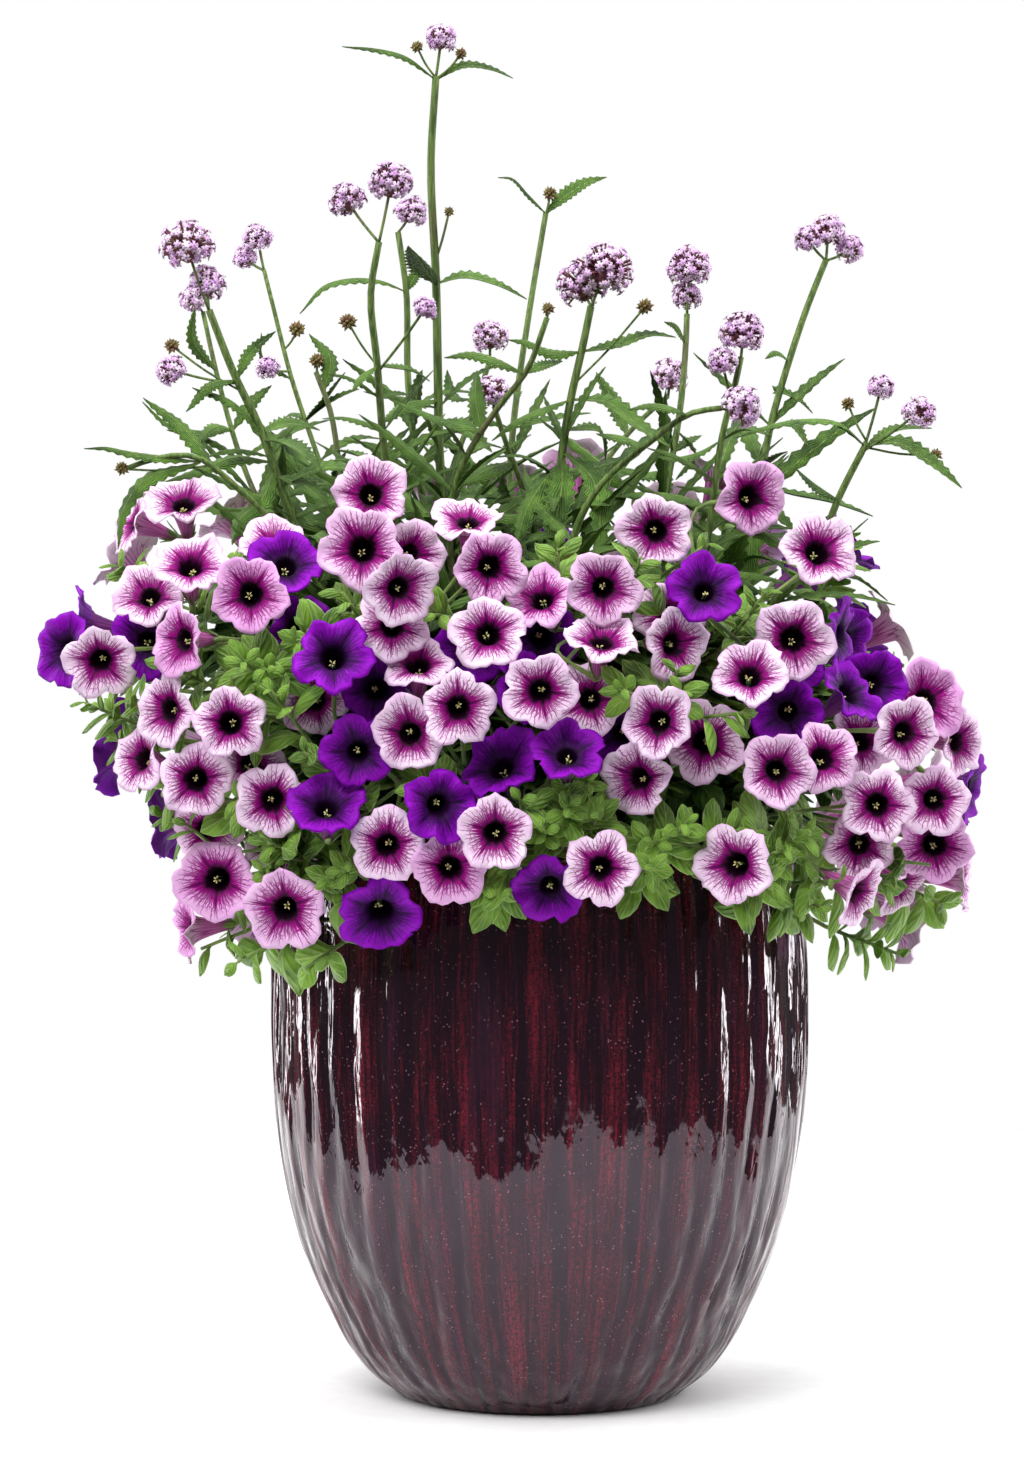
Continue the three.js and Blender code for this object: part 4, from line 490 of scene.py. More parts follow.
drain_turns = [math.radians(d) for d in (90, 210, 330)]
drains = [(DRAIN_OFF * math.cos(a), DRAIN_OFF * math.sin(a)) for a in drain_turns]
loops = [circle(0, 0, PLATE_R, 92)] + [circle(x, y, DRAIN_R, 24) for x, y in drains]
edges, first = [], 0
for loop in loops:
    edges += [(first + k, first + (k + 1) % len(loop)) for k in range(len(loop))]
    first += len(loop)
filled = delaunay_2d_cdt([tuple(p) for p in np.concatenate(loops)], edges, [], 1, 1e-7)
flat = np.array([tuple(p) for p in filled[0]])
middles = [flat[list(f)].mean(0) for f in filled[2]]
solid = [all(np.hypot(*(m - d)) > DRAIN_R for d in drains) for m in middles]
plate = np.array([f for f, keep in zip(filled[2], solid) if keep])
count = len(flat)
plate_points = np.concatenate([np.c_[flat, np.full(count, z)] for z in (PLATE_LOW, PLATE_HIGH)])
sides = np.array([(a, b, b + count, a + count) for a, b in edges])
plate_numbers = np.c_[plate_points[:, :2] * 9, np.full(2 * count, 0.2)]
print("pot points", len(pot_points), "bottom triangles", 2 * len(plate))

# %% [markdown]
# ## The glaze
# Up close the glaze is almost black, with dark red where it runs thin over the ribs, in drips of different
# length, and fine pale specks all over. It's a thick clear glass: a high index, very smooth, with slow
# swells and finer ripples, both drawn out along the height, that bend and fray the edge of each
# reflection. The colour is streaked by noise that is stretched along the height and wrapped round a
# cylinder, so that it has no seam.

# %% Glaze
bench = Bench("oxblood_glaze")
cos, sin, on_crest = bench.painted()
spot = bench.place()
height = bench.node("ShaderNodeSeparateXYZ", [(0, spot)]).outputs[2]


def wrapped(turns, along):
    """A place on a cylinder, from which noise makes streaks without a seam."""
    return bench.joined(bench.times(cos, turns), bench.times(sin, turns), bench.times(height, along))


broad = bench.noise(wrapped(5.0, 2.2), 1.0, 2, 0.55)
streak = bench.noise(wrapped(21.0, 6.0), 1.0, 3, 0.65, 0.5)
fine = bench.noise(wrapped(75.0, 22.0), 1.0, 3, 0.7)
red = bench.times_plus(on_crest, 0.2, bench.times(streak, 0.9))
red = bench.plus(red, bench.times(fine, 0.8))
red = bench.plus(red, bench.times(broad, 0.4))
share = bench.step(red, 1.06, 1.7)
grain = bench.noise(spot, 480, 3, 0.75)
share = bench.times(share, bench.step(grain, 0.36, 0.62, 0.15, 1.0))
colour = bench.mix(share, paint(28, 15, 23), paint(134, 36, 52))
purple = bench.step(bench.noise(wrapped(9.0, 5.0), 1.0, 2), 0.52, 0.7, 0.0, 0.35)
colour = bench.mix(purple, colour, paint(50, 32, 48))
specks = bench.cells(spot, 330)
some = bench.step(bench.noise(spot, 90, 2), 0.45, 0.62)
dots = bench.times(bench.step(specks, 0.22, 0.1), some)
colour = bench.mix(bench.times(dots, 0.6), colour, paint(170, 126, 138))
tall = bench.stretched(spot, 0.24)
slow = bench.noise(tall, 30, 2, 0.5)
ripple = bench.noise(tall, 92, 3, 0.6, 0.3)
pits = bench.noise(spot, 210, 2, 0.5)
normal = bench.bump(slow, 0.75, 0.015)
normal = bench.bump(ripple, 0.5, 0.0018, normal)
normal = bench.bump(pits, 0.045, 0.0008, normal)
rough = bench.step(bench.noise(spot, 26, 2), 0.35, 0.7, 0.035, 0.085)
glaze = bench.done(colour, rough, normal, IOR=1.55, Specular_Tint=(0.92, 0.78, 0.9, 1.0))
print("glaze mixed")

# %% [markdown]
# The bottom plate stands on the floor and isn't glazed. It's rough sandy clay.

# %% Bare clay and the finished pot
bench = Bench("bare_clay")
sand = bench.noise(bench.place(), 700, 3, 0.6)
colour = bench.mix(bench.step(sand, 0.35, 0.7), paint(120, 84, 66), paint(150, 108, 86))
clay = bench.done(colour, 0.9, bench.bump(sand, 0.3, 0.0006))
pile = Pile()
pile.add(pot_points, [pot_faces], pot_numbers, 0)
pile.add(plate_points, [plate[:, ::-1], plate + count, sides], plate_numbers, 1)
pot = pile.piece("glazed_pot", [glaze, clay])
triangles += dressed(pot, "pot")
print("pot triangles", triangles)

# %% [markdown]
# ## The soil
# Potting soil is dark crumbs of peat with white grains of pumice, a little below the rim. It is hardly seen
# below the leaves, so one sheet does. Its lumps are real, its crumbs are a bump pattern, and the pumice is
# painted on at the middles of cells.

# %% Soil
# The top sags towards its edge, and a skirt goes down from the edge inside the pot.
SOIL_R, SOIL_TOP, SOIL_SAG = 0.1665, 0.3525, 0.006
SKIRT_R, SKIRT_Z = 0.1655, 0.33
SOIL_ROWS, SOIL_AROUND = 24, 90
reach = np.linspace(0.002, 1, SOIL_ROWS)[:, None]
a = np.linspace(0, TAU, SOIL_AROUND, endpoint=False)[None, :]
x, y = SOIL_R * reach * np.cos(a), SOIL_R * reach * np.sin(a)
lump = np.sin(x * 410 + 3 * np.sin(y * 230)) * np.sin(y * 390 + 2 * np.sin(x * 310))
z = SOIL_TOP - SOIL_SAG * reach ** 3 + 0.0018 * lump + 0 * a
top = np.stack([x, y, z], axis=-1).reshape(-1, 3)
skirt = np.stack([SKIRT_R * np.cos(a[0]), SKIRT_R * np.sin(a[0]), np.full(SOIL_AROUND, SKIRT_Z)], axis=-1)
points = np.concatenate([top, skirt])
bench = Bench("potting_soil")
spot = bench.place()
crumbs = bench.cells(spot, 260)
damp = bench.noise(spot, 40, 4, 0.6)
colour = bench.mix(bench.step(damp, 0.35, 0.65), paint(30, 20, 14), paint(62, 43, 30))
colour = bench.mix(bench.step(crumbs, 0.35, 0.7, 0.0, 0.5), colour, paint(22, 15, 11))
pumice = bench.step(bench.cells(spot, 95), 0.13, 0.09)
colour = bench.mix(pumice, colour, paint(196, 190, 178))
earth = bench.done(colour, 0.95, bench.bump(bench.plus(crumbs, damp), 0.8, 0.003))
pile = Pile()
pile.add(points, [grid_faces(SOIL_ROWS + 1, SOIL_AROUND)], points * 4)
triangles += dressed(pile.piece("potting_soil", [earth]), "soil")
print("triangles so far", triangles)

# %% [markdown]
# ## Where the blooms are
# The frame holds each spray of blooms as plain five-lobed cups on stalks that meet in a knot. To find its
# way on such a solid, the lesson first makes one point of all points in the same place, and notes which
# points are neighbours. A stalk is rings of three points, so it's followed from ring to ring.

# %% The points of a solid
STALK_SIDES, STALK_RINGS, WELD = 3, 5, 2e-6


def welded(node):
    """A node's points without doubles, and the neighbours of each."""
    mesh = node.data
    raw = np.empty(len(mesh.vertices) * 3)
    mesh.vertices.foreach_get("co", raw)
    raw = raw.reshape(-1, 3)
    known, number, points = {}, [], []
    for p, key in zip(raw, map(tuple, np.round(raw / WELD).astype(int))):
        if key not in known:
            known[key] = len(points)
            points.append(p)
        number.append(known[key])
    beside = [set() for _ in points]
    for face in mesh.polygons:
        ids = [number[i] for i in face.vertices]
        for a, b in zip(ids, ids[1:] + ids[:1]):
            beside[a].add(b)
            beside[b].add(a)
    return np.array(points), beside


def stalk_way(start, ring, own, points, beside):
    """The middles of the rings of three points that lead down a stalk, and all that was passed."""
    way, past, last = [start], set(own), ring
    while True:
        ahead = set().union(*(beside[q] for q in last)) - past - last
        if len(ahead) != STALK_SIDES or len(way) > STALK_RINGS:
            return np.array(way), past | last
        past |= last
        way.append(points[sorted(ahead)].mean(0))
        last = ahead


print("rings of a stalk at most", STALK_RINGS)

# %% [markdown]
# A cup has one point at the bottom of its throat with exactly five neighbours, all equally far. From those
# six points follow the bloom's middle, its facing, its size and where its lobes point, and from the tube's
# end the stalk leads to the knot. So every real bloom can grow exactly where its cup is.

# %% Reading the sprays
# Of the frame's cups, in radii of the bloom: how far the five arms rise, their length, and how deep behind
# the bloom's middle the throat, the tube's end and the neck are.
ARM_RISE, ARM_LONG, THROAT_DEEP, TUBE_DEEP, NECK_DEEP = 0.56, 0.613, 0.8, 1.4, 0.45


def read_spray(node, pink):
    """The blooms of a spray, and the points of its solid that belong to none."""
    points, beside = welded(node)
    found, used = [], set()
    for i in range(len(points)):
        if len(beside[i]) != 5:
            continue
        throat = sorted(beside[i])
        arms = points[throat] - points[i]
        long, middle = np.linalg.norm(arms, axis=1), arms.mean(0)
        R = np.linalg.norm(middle) / ARM_RISE
        even = long.std() <= 0.02 * long.mean() and abs(long.mean() / (ARM_LONG * R) - 1) <= 0.02
        if not even or not 0.015 < R < 0.06:
            continue
        face = unit(middle)
        centre = points[i] + face * THROAT_DEEP * R
        u = arms[0] - face * (arms[0] @ face)
        end = centre - face * TUBE_DEEP * R
        off = points - centre
        along, far = off @ face, np.linalg.norm(off, axis=1)
        ring = set(np.flatnonzero(np.linalg.norm(points - end, axis=1) < 0.1 * R).tolist())
        near_neck = np.linalg.norm(points - (centre - face * NECK_DEEP * R), axis=1) < 0.36 * R
        neck = set(np.flatnonzero(near_neck & (np.abs(along + NECK_DEEP * R) < 0.02 * R)).tolist())
        used |= set(np.flatnonzero((far < 1.08 * R) & (-0.5 * R < along) & (along < 0.3 * R)).tolist())
        way, passed = stalk_way(end, ring, ring | neck | {i} | set(throat), points, beside)
        used |= passed
        found.append({"centre": centre, "face": face, "R": R, "u": unit(u), "pink": pink, "way": way})
    return found, points[[q for q in range(len(points)) if q not in used]]


sprays, blooms = {}, []
for name, node in sorted(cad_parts.items()):
    if "_blooms_" in name:
        found, rest = read_spray(node, name.startswith("pink"))
        knot = np.mean([b["way"][-1] for b in found], axis=0)
        sprays[name] = {"blooms": found, "knot": knot, "rest": rest}
        blooms += found
for k, b in enumerate(blooms):
    b["index"] = k
centres = np.array([b["centre"] for b in blooms])
faces = np.array([b["face"] for b in blooms])
sizes = np.array([b["R"] for b in blooms])
print("sprays", len(sprays), "blooms", len(blooms), "rings of a stalk", {len(b["way"]) for b in blooms})

# %% [markdown]
# ## Petal finishes
# A petunia petal is a thin velvety skin. The pale kind is lilac white, with a vivid magenta star round an
# almost black throat. Dark veins fork towards the rim, fine rays run between them, and one strong rib goes
# to each lobe's tip. The veins are the borders of stretched cells on the flattened bloom: such borders fork
# and join as veins do. The star is a zone whose edge is drawn out along the veins and kept back between
# the lobes' ribs. The violet kind is the same skin in other colours, with its zone darker than its limb.

# %% A bench for petals
class PetalBench(Bench):
    """A finish being mixed that knows the place on the flattened bloom, in radii of the bloom."""

    def __init__(self, name, apart):
        super().__init__(name)
        self.x, self.y, seed = self.painted()
        self.r = self.length(self.x, self.y)
        self.ring = self.larger(self.r, 0.02)
        self.turn = self.reckon("ARCTAN2", self.y, self.x)
        self.far = self.times(seed, apart)

    def ringed(self, turns, outward):
        """A place in rings round the throat, where patterns run outward and have no seam."""
        across, up = self.over(self.x, self.ring), self.over(self.y, self.ring)
        return self.joined(self.times(across, turns), self.times(up, turns),
                           self.times_plus(self.r, outward, self.far))

    def level(self):
        """The place on the flattened bloom, other for each bloom."""
        return self.joined(self.x, self.y, self.far)

    def off_the_ribs(self):
        """0 on each lobe's rib and 1 between two lobes."""
        return self.reckon("ABSOLUTE", self.reckon("SINE", self.times(self.turn, 2.5)))


print("petal bench ready")

# %% [markdown]
# First come the lines, as black and white patterns: two sets of rays, the web of veins, and the ribs. Then
# the colours are laid over each other: the limb and its paler edge, the zone of the star, the lines, and
# last the dark throat.

# %% Petal finishes
def petal_finish(name, pale, edge, wide, rich, zone, throat, vein, inner, veins_to, star, strength):
    """The front of a bloom. The veins end at veins_to and the star's edge is near star, both in radii."""
    bench = PetalBench(name, 37.0)
    r, far = bench.r, bench.far
    wobble = bench.noise(bench.ringed(2.2, 5.0), 1.0, 2, 0.5)
    waver = bench.noise(bench.ringed(3.6, 7.0), 1.0, 2, 0.6)

    def rays(count, wave, thick, end):
        """Fine lines that run outward and waver, each to its own length."""
        bent = bench.times_plus(waver, wave * count, bench.times(bench.turn, count / 2))
        beside = bench.reckon("ABSOLUTE", bench.reckon("SINE", bent))
        away = bench.times(beside, bench.times(r, 2 / count))
        line = bench.step(bench.over(away, bench.step(r, 0.3, 1.0, thick, thick * 0.45)), 1.0, 0.2)
        own_end = bench.noise(bench.ringed(count * 0.13, 0.4), 1.0, 1)
        length = bench.times_plus(own_end, 0.9, r)
        return bench.times(line, bench.step(length, end + 0.5, end + 0.28))

    forks = bench.cells(bench.ringed(5.4, 4.4), 1.0, "DISTANCE_TO_EDGE")
    web = bench.step(bench.over(forks, bench.step(r, 0.3, 0.95, 0.17, 0.045)), 1.0, 0.25)
    uneven = bench.times_plus(wobble, 0.3, r)
    web = bench.times(web, bench.step(uneven, veins_to + 0.1, veins_to - 0.25))
    off = bench.off_the_ribs()
    rib = bench.step(bench.over(bench.times(off, r), bench.step(r, 0.3, 0.98, 0.14, 0.035)), 1.0, 0.3)
    rib = bench.times(rib, bench.step(uneven, 1.1, 0.8))
    lines = bench.larger(rays(40, 0.09, 0.032, veins_to - 0.1), rays(76, 0.07, 0.021, veins_to - 0.3))
    lines = bench.larger(bench.larger(lines, bench.times(web, 0.85)), rib)

    tone = bench.noise(bench.level(), 2.6, 3, 0.6)
    own = bench.noise(bench.joined(far, bench.times(far, 3.1), 0.5), 1.0, 1)
    colour = bench.mix(bench.step(r, 0.45, 1.0), pale, edge)
    colour = bench.mix(bench.step(tone, 0.35, 0.7, 0.0, 0.45), colour, wide)
    colour = bench.mix(bench.step(off, 0.55, 1.0, 0.0, 0.35), colour, edge)
    colour = bench.mix(bench.step(own, 0.5, 0.72, 0.0, 0.6), colour, rich)
    drawn_in = bench.times_plus(lines, -0.16, bench.times_plus(wobble, 0.34, r))
    drawn_in = bench.times_plus(off, 0.13, drawn_in)
    colour = bench.mix(bench.step(drawn_in, star + 0.24, star + 0.06), colour, zone)
    colour = bench.mix(bench.step(r, 0.88, 1.0, 0.0, 0.5), colour, wide)
    line_colour = bench.mix(bench.step(r, 0.3, 0.7), inner, vein)
    colour = bench.mix(bench.times(lines, strength), colour, line_colour)
    rib_colour = tuple((a + b) / 2 for a, b in zip(inner, throat))
    colour = bench.mix(bench.times(rib, bench.step(r, 0.3, 0.95, 0.9, 0.3)), colour, rib_colour)
    funnel = bench.times_plus(lines, -0.2, bench.times_plus(wobble, 0.36, r))
    colour = bench.mix(bench.step(funnel, 0.4, 0.2), colour, throat)

    normal = bench.bump(lines, 0.3, 0.0005)
    normal = bench.bump(bench.noise(bench.ringed(5.0, 3.0), 1.0, 2), 0.6, 0.002, normal)
    normal = bench.bump(bench.noise(bench.level(), 26, 2, 0.6), 0.12, 0.0006, normal)
    return bench.done(colour, bench.step(tone, 0.3, 0.7, 0.5, 0.64), normal, IOR=1.2)


pink_front = petal_finish(
    "veined_petal", pale=paint(250, 212, 247), edge=paint(254, 236, 253), wide=paint(238, 176, 234),
    rich=paint(218, 122, 210), zone=paint(228, 22, 182), throat=paint(26, 3, 22), vein=paint(150, 16, 126),
    inner=paint(108, 4, 92), veins_to=1.0, star=0.48, strength=0.92)
violet_front = petal_finish(
    "violet_petal", pale=paint(114, 4, 152), edge=paint(158, 14, 204), wide=paint(92, 3, 128),
    rich=paint(128, 6, 158), zone=paint(76, 1, 104), throat=paint(26, 3, 34), vein=paint(70, 1, 96),
    inner=paint(44, 1, 62), veins_to=0.98, star=0.5, strength=0.7)
print("petal fronts mixed")

# %% [markdown]
# The outside of a bloom is duller and paler. Its veins come up out of the tube, which is brownish magenta
# and green at its foot. A simpler network on the same bench does it, with fainter lines.

# %% Petal outsides
def outside_finish(name, limb, edge, tube, foot, vein, strength):
    """The back of a bloom, from the rim to the foot of its tube."""
    bench = PetalBench(name, 53.0)
    r = bench.r
    forks = bench.cells(bench.ringed(3.6, 2.0), 1.0, "DISTANCE_TO_EDGE")
    lines = bench.step(bench.over(forks, bench.step(r, 0.1, 0.95, 0.16, 0.035)), 1.0, 0.3)
    off = bench.off_the_ribs()
    rib = bench.step(bench.over(bench.times(off, r), 0.045), 1.0, 0.3)
    lines = bench.times(bench.larger(lines, rib), bench.step(r, 0.98, 0.55))
    colour = bench.mix(bench.step(r, 0.5, 0.95), limb, edge)
    colour = bench.mix(bench.step(r, 0.62, 0.3), colour, tube)
    colour = bench.mix(bench.times(lines, strength), colour, vein)
    colour = bench.mix(bench.step(r, 0.2, 0.04), colour, foot)
    normal = bench.bump(lines, 0.5, 0.0008)
    normal = bench.bump(bench.noise(bench.level(), 30, 2), 0.15, 0.0006, normal)
    return bench.done(colour, 0.6, normal, IOR=1.22, Sheen_Weight=0.08, Sheen_Roughness=0.5)


pink_back = outside_finish(
    "veined_outside", limb=paint(240, 184, 234), edge=paint(252, 222, 250), tube=paint(196, 104, 172),
    foot=paint(132, 134, 84), vein=paint(134, 36, 112), strength=0.75)
violet_back = outside_finish(
    "violet_outside", limb=paint(116, 28, 160), edge=paint(132, 28, 180), tube=paint(124, 56, 122),
    foot=paint(126, 118, 84), vein=paint(74, 14, 104), strength=0.6)
bench = Bench("anther_pollen")
dust = bench.noise(bench.place(), 900, 2)
colour = bench.mix(bench.step(dust, 0.4, 0.6), paint(208, 196, 120), paint(232, 224, 164))
pollen = bench.done(colour, 0.8, bench.bump(dust, 0.4, 0.0004))
print("outsides and pollen mixed")

# %% [markdown]
# Calyx and stalks are soft hairy green. So are the shoots' stems, which use the same finish.

# %% Green of stalks
bench = Bench("hairy_stalk")
spot = bench.place()
shade = bench.noise(spot, 60, 3)
colour = bench.mix(bench.step(shade, 0.35, 0.65), paint(84, 116, 46), paint(132, 158, 78))
colour = bench.mix(bench.step(bench.noise(spot, 25, 2), 0.55, 0.75, 0.0, 0.3), colour, paint(112, 84, 66))
hair = bench.noise(spot, 1500, 2, 0.7)
stalk_green = bench.done(colour, 0.7, bench.bump(hair, 0.3, 0.0005), Sheen_Weight=0.4, Sheen_Roughness=0.4)
print("stalk green mixed")

# %% [markdown]
# ## The shape of a bloom
# A petunia bloom is one piece of petal: a tube that widens into a flat limb of five rounded lobes, each
# with a small pointed tip, and shallow notches between. It could be a turned shape with a wavy edge, but
# the lobes are also pleated and ruffled, each bloom its own way and the violet ones more. So it is a net of
# points in rows from the bottom of the throat to the rim and back down the outside. Every point is moved by
# its lobe's outline, the pleats, three slow waves, a curl and a tilt of each lobe, all drawn for that bloom.
# In the tables each row has its reach and its depth, in radii of the bloom, and its reach when flattened.

# %% Bloom shape
AROUND_BLOOM = 40
INSIDE = np.array([
    [0.02, 0.88], [0.13, 0.76], [0.21, 0.50], [0.24, 0.35], [0.28, 0.24], [0.35, 0.165], [0.46, 0.11],
    [0.6, 0.075], [0.75, 0.042], [0.89, 0.014], [1.0, 0.0],
])
OUTSIDE = np.array([
    [0.995, 0.014], [0.84, 0.05], [0.64, 0.095], [0.46, 0.16], [0.37, 0.26], [0.31, 0.42], [0.24, 0.66],
    [0.17, 0.96], [0.105, 1.34], [0.04, 1.41],
])
FLAT_IN = np.array([0.03, 0.09, 0.16, 0.21, 0.27, 0.35, 0.46, 0.6, 0.75, 0.89, 1.0])
FLAT_OUT = np.array([0.995, 0.86, 0.7, 0.56, 0.47, 0.38, 0.28, 0.19, 0.09, 0.03])
bloom_net = grid_faces(len(INSIDE) + len(OUTSIDE), AROUND_BLOOM)
lobe_turn = np.linspace(0, TAU, AROUND_BLOOM, endpoint=False)


def bloom_points(b, drawn):
    """The net of a bloom's points, and their places on the flattened bloom."""
    a, pink = lobe_turn, b["pink"]
    lobe = np.abs(np.cos(2.5 * a))
    near = (a + TAU / 10) % (TAU / 5) - TAU / 10
    which = np.round(a / (TAU / 5)).astype(int) % 5
    tip = (0.05 if pink else 0.03) * np.exp(-((near / 0.1) ** 2))
    even = 1 + 0.025 * np.sin(a + drawn.uniform(0, TAU)) + 0.02 * np.sin(2 * a + drawn.uniform(0, TAU))
    own_length = drawn.normal(0, 0.035, 5)[which] * np.sqrt(lobe)
    notch = drawn.uniform(0.75, 0.84) if pink else drawn.uniform(0.73, 0.85)
    waves = 0.016 * np.sin(12 * a + drawn.uniform(0, TAU)) + 0.012 * np.sin(17 * a + drawn.uniform(0, TAU))
    rim = (notch + (0.965 - notch) * lobe ** (0.58 if pink else 0.5) + tip) * even + own_length + waves
    rim = np.minimum(rim, 1.04)
    phase = drawn.uniform(0, TAU, 4)
    ruffle = 0.04 * np.sin(5 * a + phase[0]) + 0.042 * np.sin(8 * a + phase[1])
    ruffle = ruffle + 0.026 * np.sin(13 * a + phase[2])
    folds = 1.1 if pink else 1.5
    ruffle = ruffle * drawn.uniform(0.7, 1.5) * folds
    cup = drawn.uniform(0.7, 1.7)
    pleat = (0.06 * (1 - lobe) ** 1.6 - 0.034 * np.exp(-((near / 0.13) ** 2))) * folds
    curl, heading = drawn.uniform(-0.12, 0.24), drawn.uniform(0, TAU)
    tilt = np.clip(drawn.normal(0, 0.075, 5), -0.16, 0.16)[which] * lobe
    rows, flat = [], []
    for table, lengths in ((INSIDE, FLAT_IN), (OUTSIDE, FLAT_OUT)):
        for (r, d), f in zip(table, lengths):
            out = min(max((r - 0.3) / 0.7, 0.0), 1.0)
            reach = r * (1 + (rim - 1) * out ** 0.8)
            deep = d * (cup if d < 0.3 and r > 0.3 else 1)
            deep = deep - ruffle * out ** 1.6 - pleat * out * (1.2 - 0.5 * out)
            deep = deep - 0.02 * out ** 4 * np.sin(3 * a + phase[3]) + 0.045 * out ** 6
            deep = deep - curl * out * (np.cos(a - heading) ** 2 - 0.5) - tilt * out ** 1.5
            rows.append(np.stack([reach * np.cos(a), reach * np.sin(a), -deep * np.ones_like(a)], axis=-1))
            own_number = np.full_like(a, b["index"] / len(blooms))
            flat.append(np.stack([f * np.cos(a), f * np.sin(a), own_number], axis=-1))
    local = np.concatenate(rows) * b["R"]
    v = np.cross(b["face"], b["u"])
    return b["centre"] + local @ np.stack([b["u"], v, b["face"]]), np.concatenate(flat)


print("faces in a bloom", len(bloom_net))

# %% [markdown]
# Stalks, stems and stamens are rods along a path. The rod's rings are kept from twisting by carrying one
# sideways direction along the path, and a smooth path through a few points comes from the same curve that
# turned the pot.

# %% Rods along a path
def eased(path, count):
    """A smooth path through a few points, evenly stepped."""
    path = np.asarray(path, float)
    long = np.concatenate([[0], np.cumsum(np.linalg.norm(np.diff(path, axis=0), axis=1))])
    if len(path) < 3:
        return path[0] + (path[-1] - path[0]) * np.linspace(0, 1, count)[:, None]
    x = np.linspace(0, long[-1], count)
    return np.stack([smooth_between(long, path[:, k], x) for k in range(3)], axis=-1)


def rod(path, radii, sides, square=0.0):
    """The points and faces of a closed rod. A square one has four rounded corners."""
    path = np.asarray(path, float)
    radii = np.broadcast_to(radii, (len(path),))
    ways = np.gradient(path, axis=0)
    ways /= np.linalg.norm(ways, axis=1)[:, None]
    u = np.cross(ways[0], (0, 0, 1) if abs(ways[0][2]) < 0.9 else (0, 1, 0))
    a = np.linspace(0, TAU, sides, endpoint=False)
    swell = 1 + square * 0.16 * np.cos(4 * a)
    rings = []
    for p, w, r in zip(path, ways, radii):
        u = unit(u - w * (u @ w))
        v = np.cross(w, u)
        rings.append(p + r * (np.outer(np.cos(a) * swell, u) + np.outer(np.sin(a) * swell, v)))
    points = np.concatenate([*rings, path[:1], path[-1:]])
    k, n, row = np.arange(sides), len(path) * sides, (len(path) - 1) * sides
    first = np.stack([(k + 1) % sides, k, np.full(sides, n)], axis=-1)
    last = np.stack([row + k, row + (k + 1) % sides, np.full(sides, n + 1)], axis=-1)
    return points, [grid_faces(len(path), sides), np.concatenate([first, last])]


def bead(centre, way, r, long, sides):
    """A small egg along a direction."""
    steps = np.array([-0.98, -0.7, 0, 0.7, 0.98])
    return rod(centre + np.outer(steps * long, way), r * np.sqrt(1.02 - steps ** 2), sides)


print("rods and beads ready")

# %% [markdown]
# Sepals and leaves are blades: rows of points across a path. The top and the under side are two nets that
# share their edges, and the blade folds up a little at both sides of its rib.

# %% Blades
def blade(path, halves, side, fold, thick, columns, edge=None):
    """A leaf: rows across a path, folded up at the edges, with an under side a little below."""
    path = np.asarray(path, float)
    ways = np.gradient(path, axis=0)
    ways /= np.linalg.norm(ways, axis=1)[:, None]
    outs = side - ways * (ways @ side)[:, None]
    outs /= np.linalg.norm(outs, axis=1)[:, None]
    ups = np.cross(ways, outs)
    s = np.linspace(-1, 1, columns)
    wide = halves[:, None] * s[None, :]
    if edge is not None:
        wide = wide * (1 + edge[:, None] * np.abs(s[None, :]) ** 3)
    lift = fold * np.abs(wide) * np.abs(s[None, :]) ** 0.5
    top = path[:, None] + outs[:, None] * wide[..., None] + ups[:, None] * lift[..., None]
    swell = thick * (1 - 0.8 * s ** 2)[None, :, None]
    low = top - ups[:, None] * swell
    n = len(path)
    m, q = n * columns, columns - 1
    numbers = np.stack([np.repeat(np.linspace(0, 1, n), columns), np.tile(s, n)], axis=-1)
    points = np.concatenate([top.reshape(-1, 3), low.reshape(-1, 3)])
    net = grid_faces(n, columns, closed=False)
    under = net[:, ::-1] + m
    k = np.arange(n - 1) * columns
    left = np.stack([k, k + columns, k + columns + m, k + m], axis=-1)
    right = np.stack([k + q + columns, k + q, k + q + m, k + q + columns + m], axis=-1)
    j = np.arange(columns - 1)
    start = np.stack([j + 1, j, j + m, j + 1 + m], axis=-1)
    end = np.stack([j, j + 1, j + 1 + m, j + m], axis=-1) + (n - 1) * columns
    faces_ = np.concatenate([net, under, left, right, start, end])
    return points, [faces_], np.concatenate([numbers, numbers])


print("blades ready")

# %% [markdown]
# ## The blooms, all at once
# Sepals, leaves and stems must not cut through a petal. So all blooms are shaped first, and a search tree of
# their faces tells whether a shell cuts any of them. Each bloom keeps its own seeded drawing.

# %% All blooms
for b in blooms:
    b["drawn"] = np.random.default_rng(700 + b["index"])
    b["points"], b["numbers"] = bloom_points(b, b["drawn"])
bloom_size = len(blooms[0]["points"])
petal_tree = BVHTree.FromPolygons(
    [tuple(p) for b in blooms for p in b["points"]],
    [tuple(f) for k in range(len(blooms)) for f in (bloom_net + k * bloom_size).tolist()])


def cuts_petals(points, net, but=-1):
    """Whether a shell cuts through any bloom, but one."""
    own = BVHTree.FromPolygons([tuple(p) for p in points], net.tolist())
    return any(other // len(bloom_net) != but for _, other in own.overlap(petal_tree))


print("petal faces", len(blooms) * len(bloom_net))

# %% [markdown]
# ## The sprays
# Each spray is one piece: its blooms, five pollen-tipped stamens in each throat, a calyx of five narrow
# sepals that hold the tube, and the stalks that lead to the leafy knot from which they all grow. A small
# bead hides the joint of the stalks.

# %% Sepals, stamens and stalks
FRONT, BACK, POLLEN, GREEN = 0, 1, 2, 3


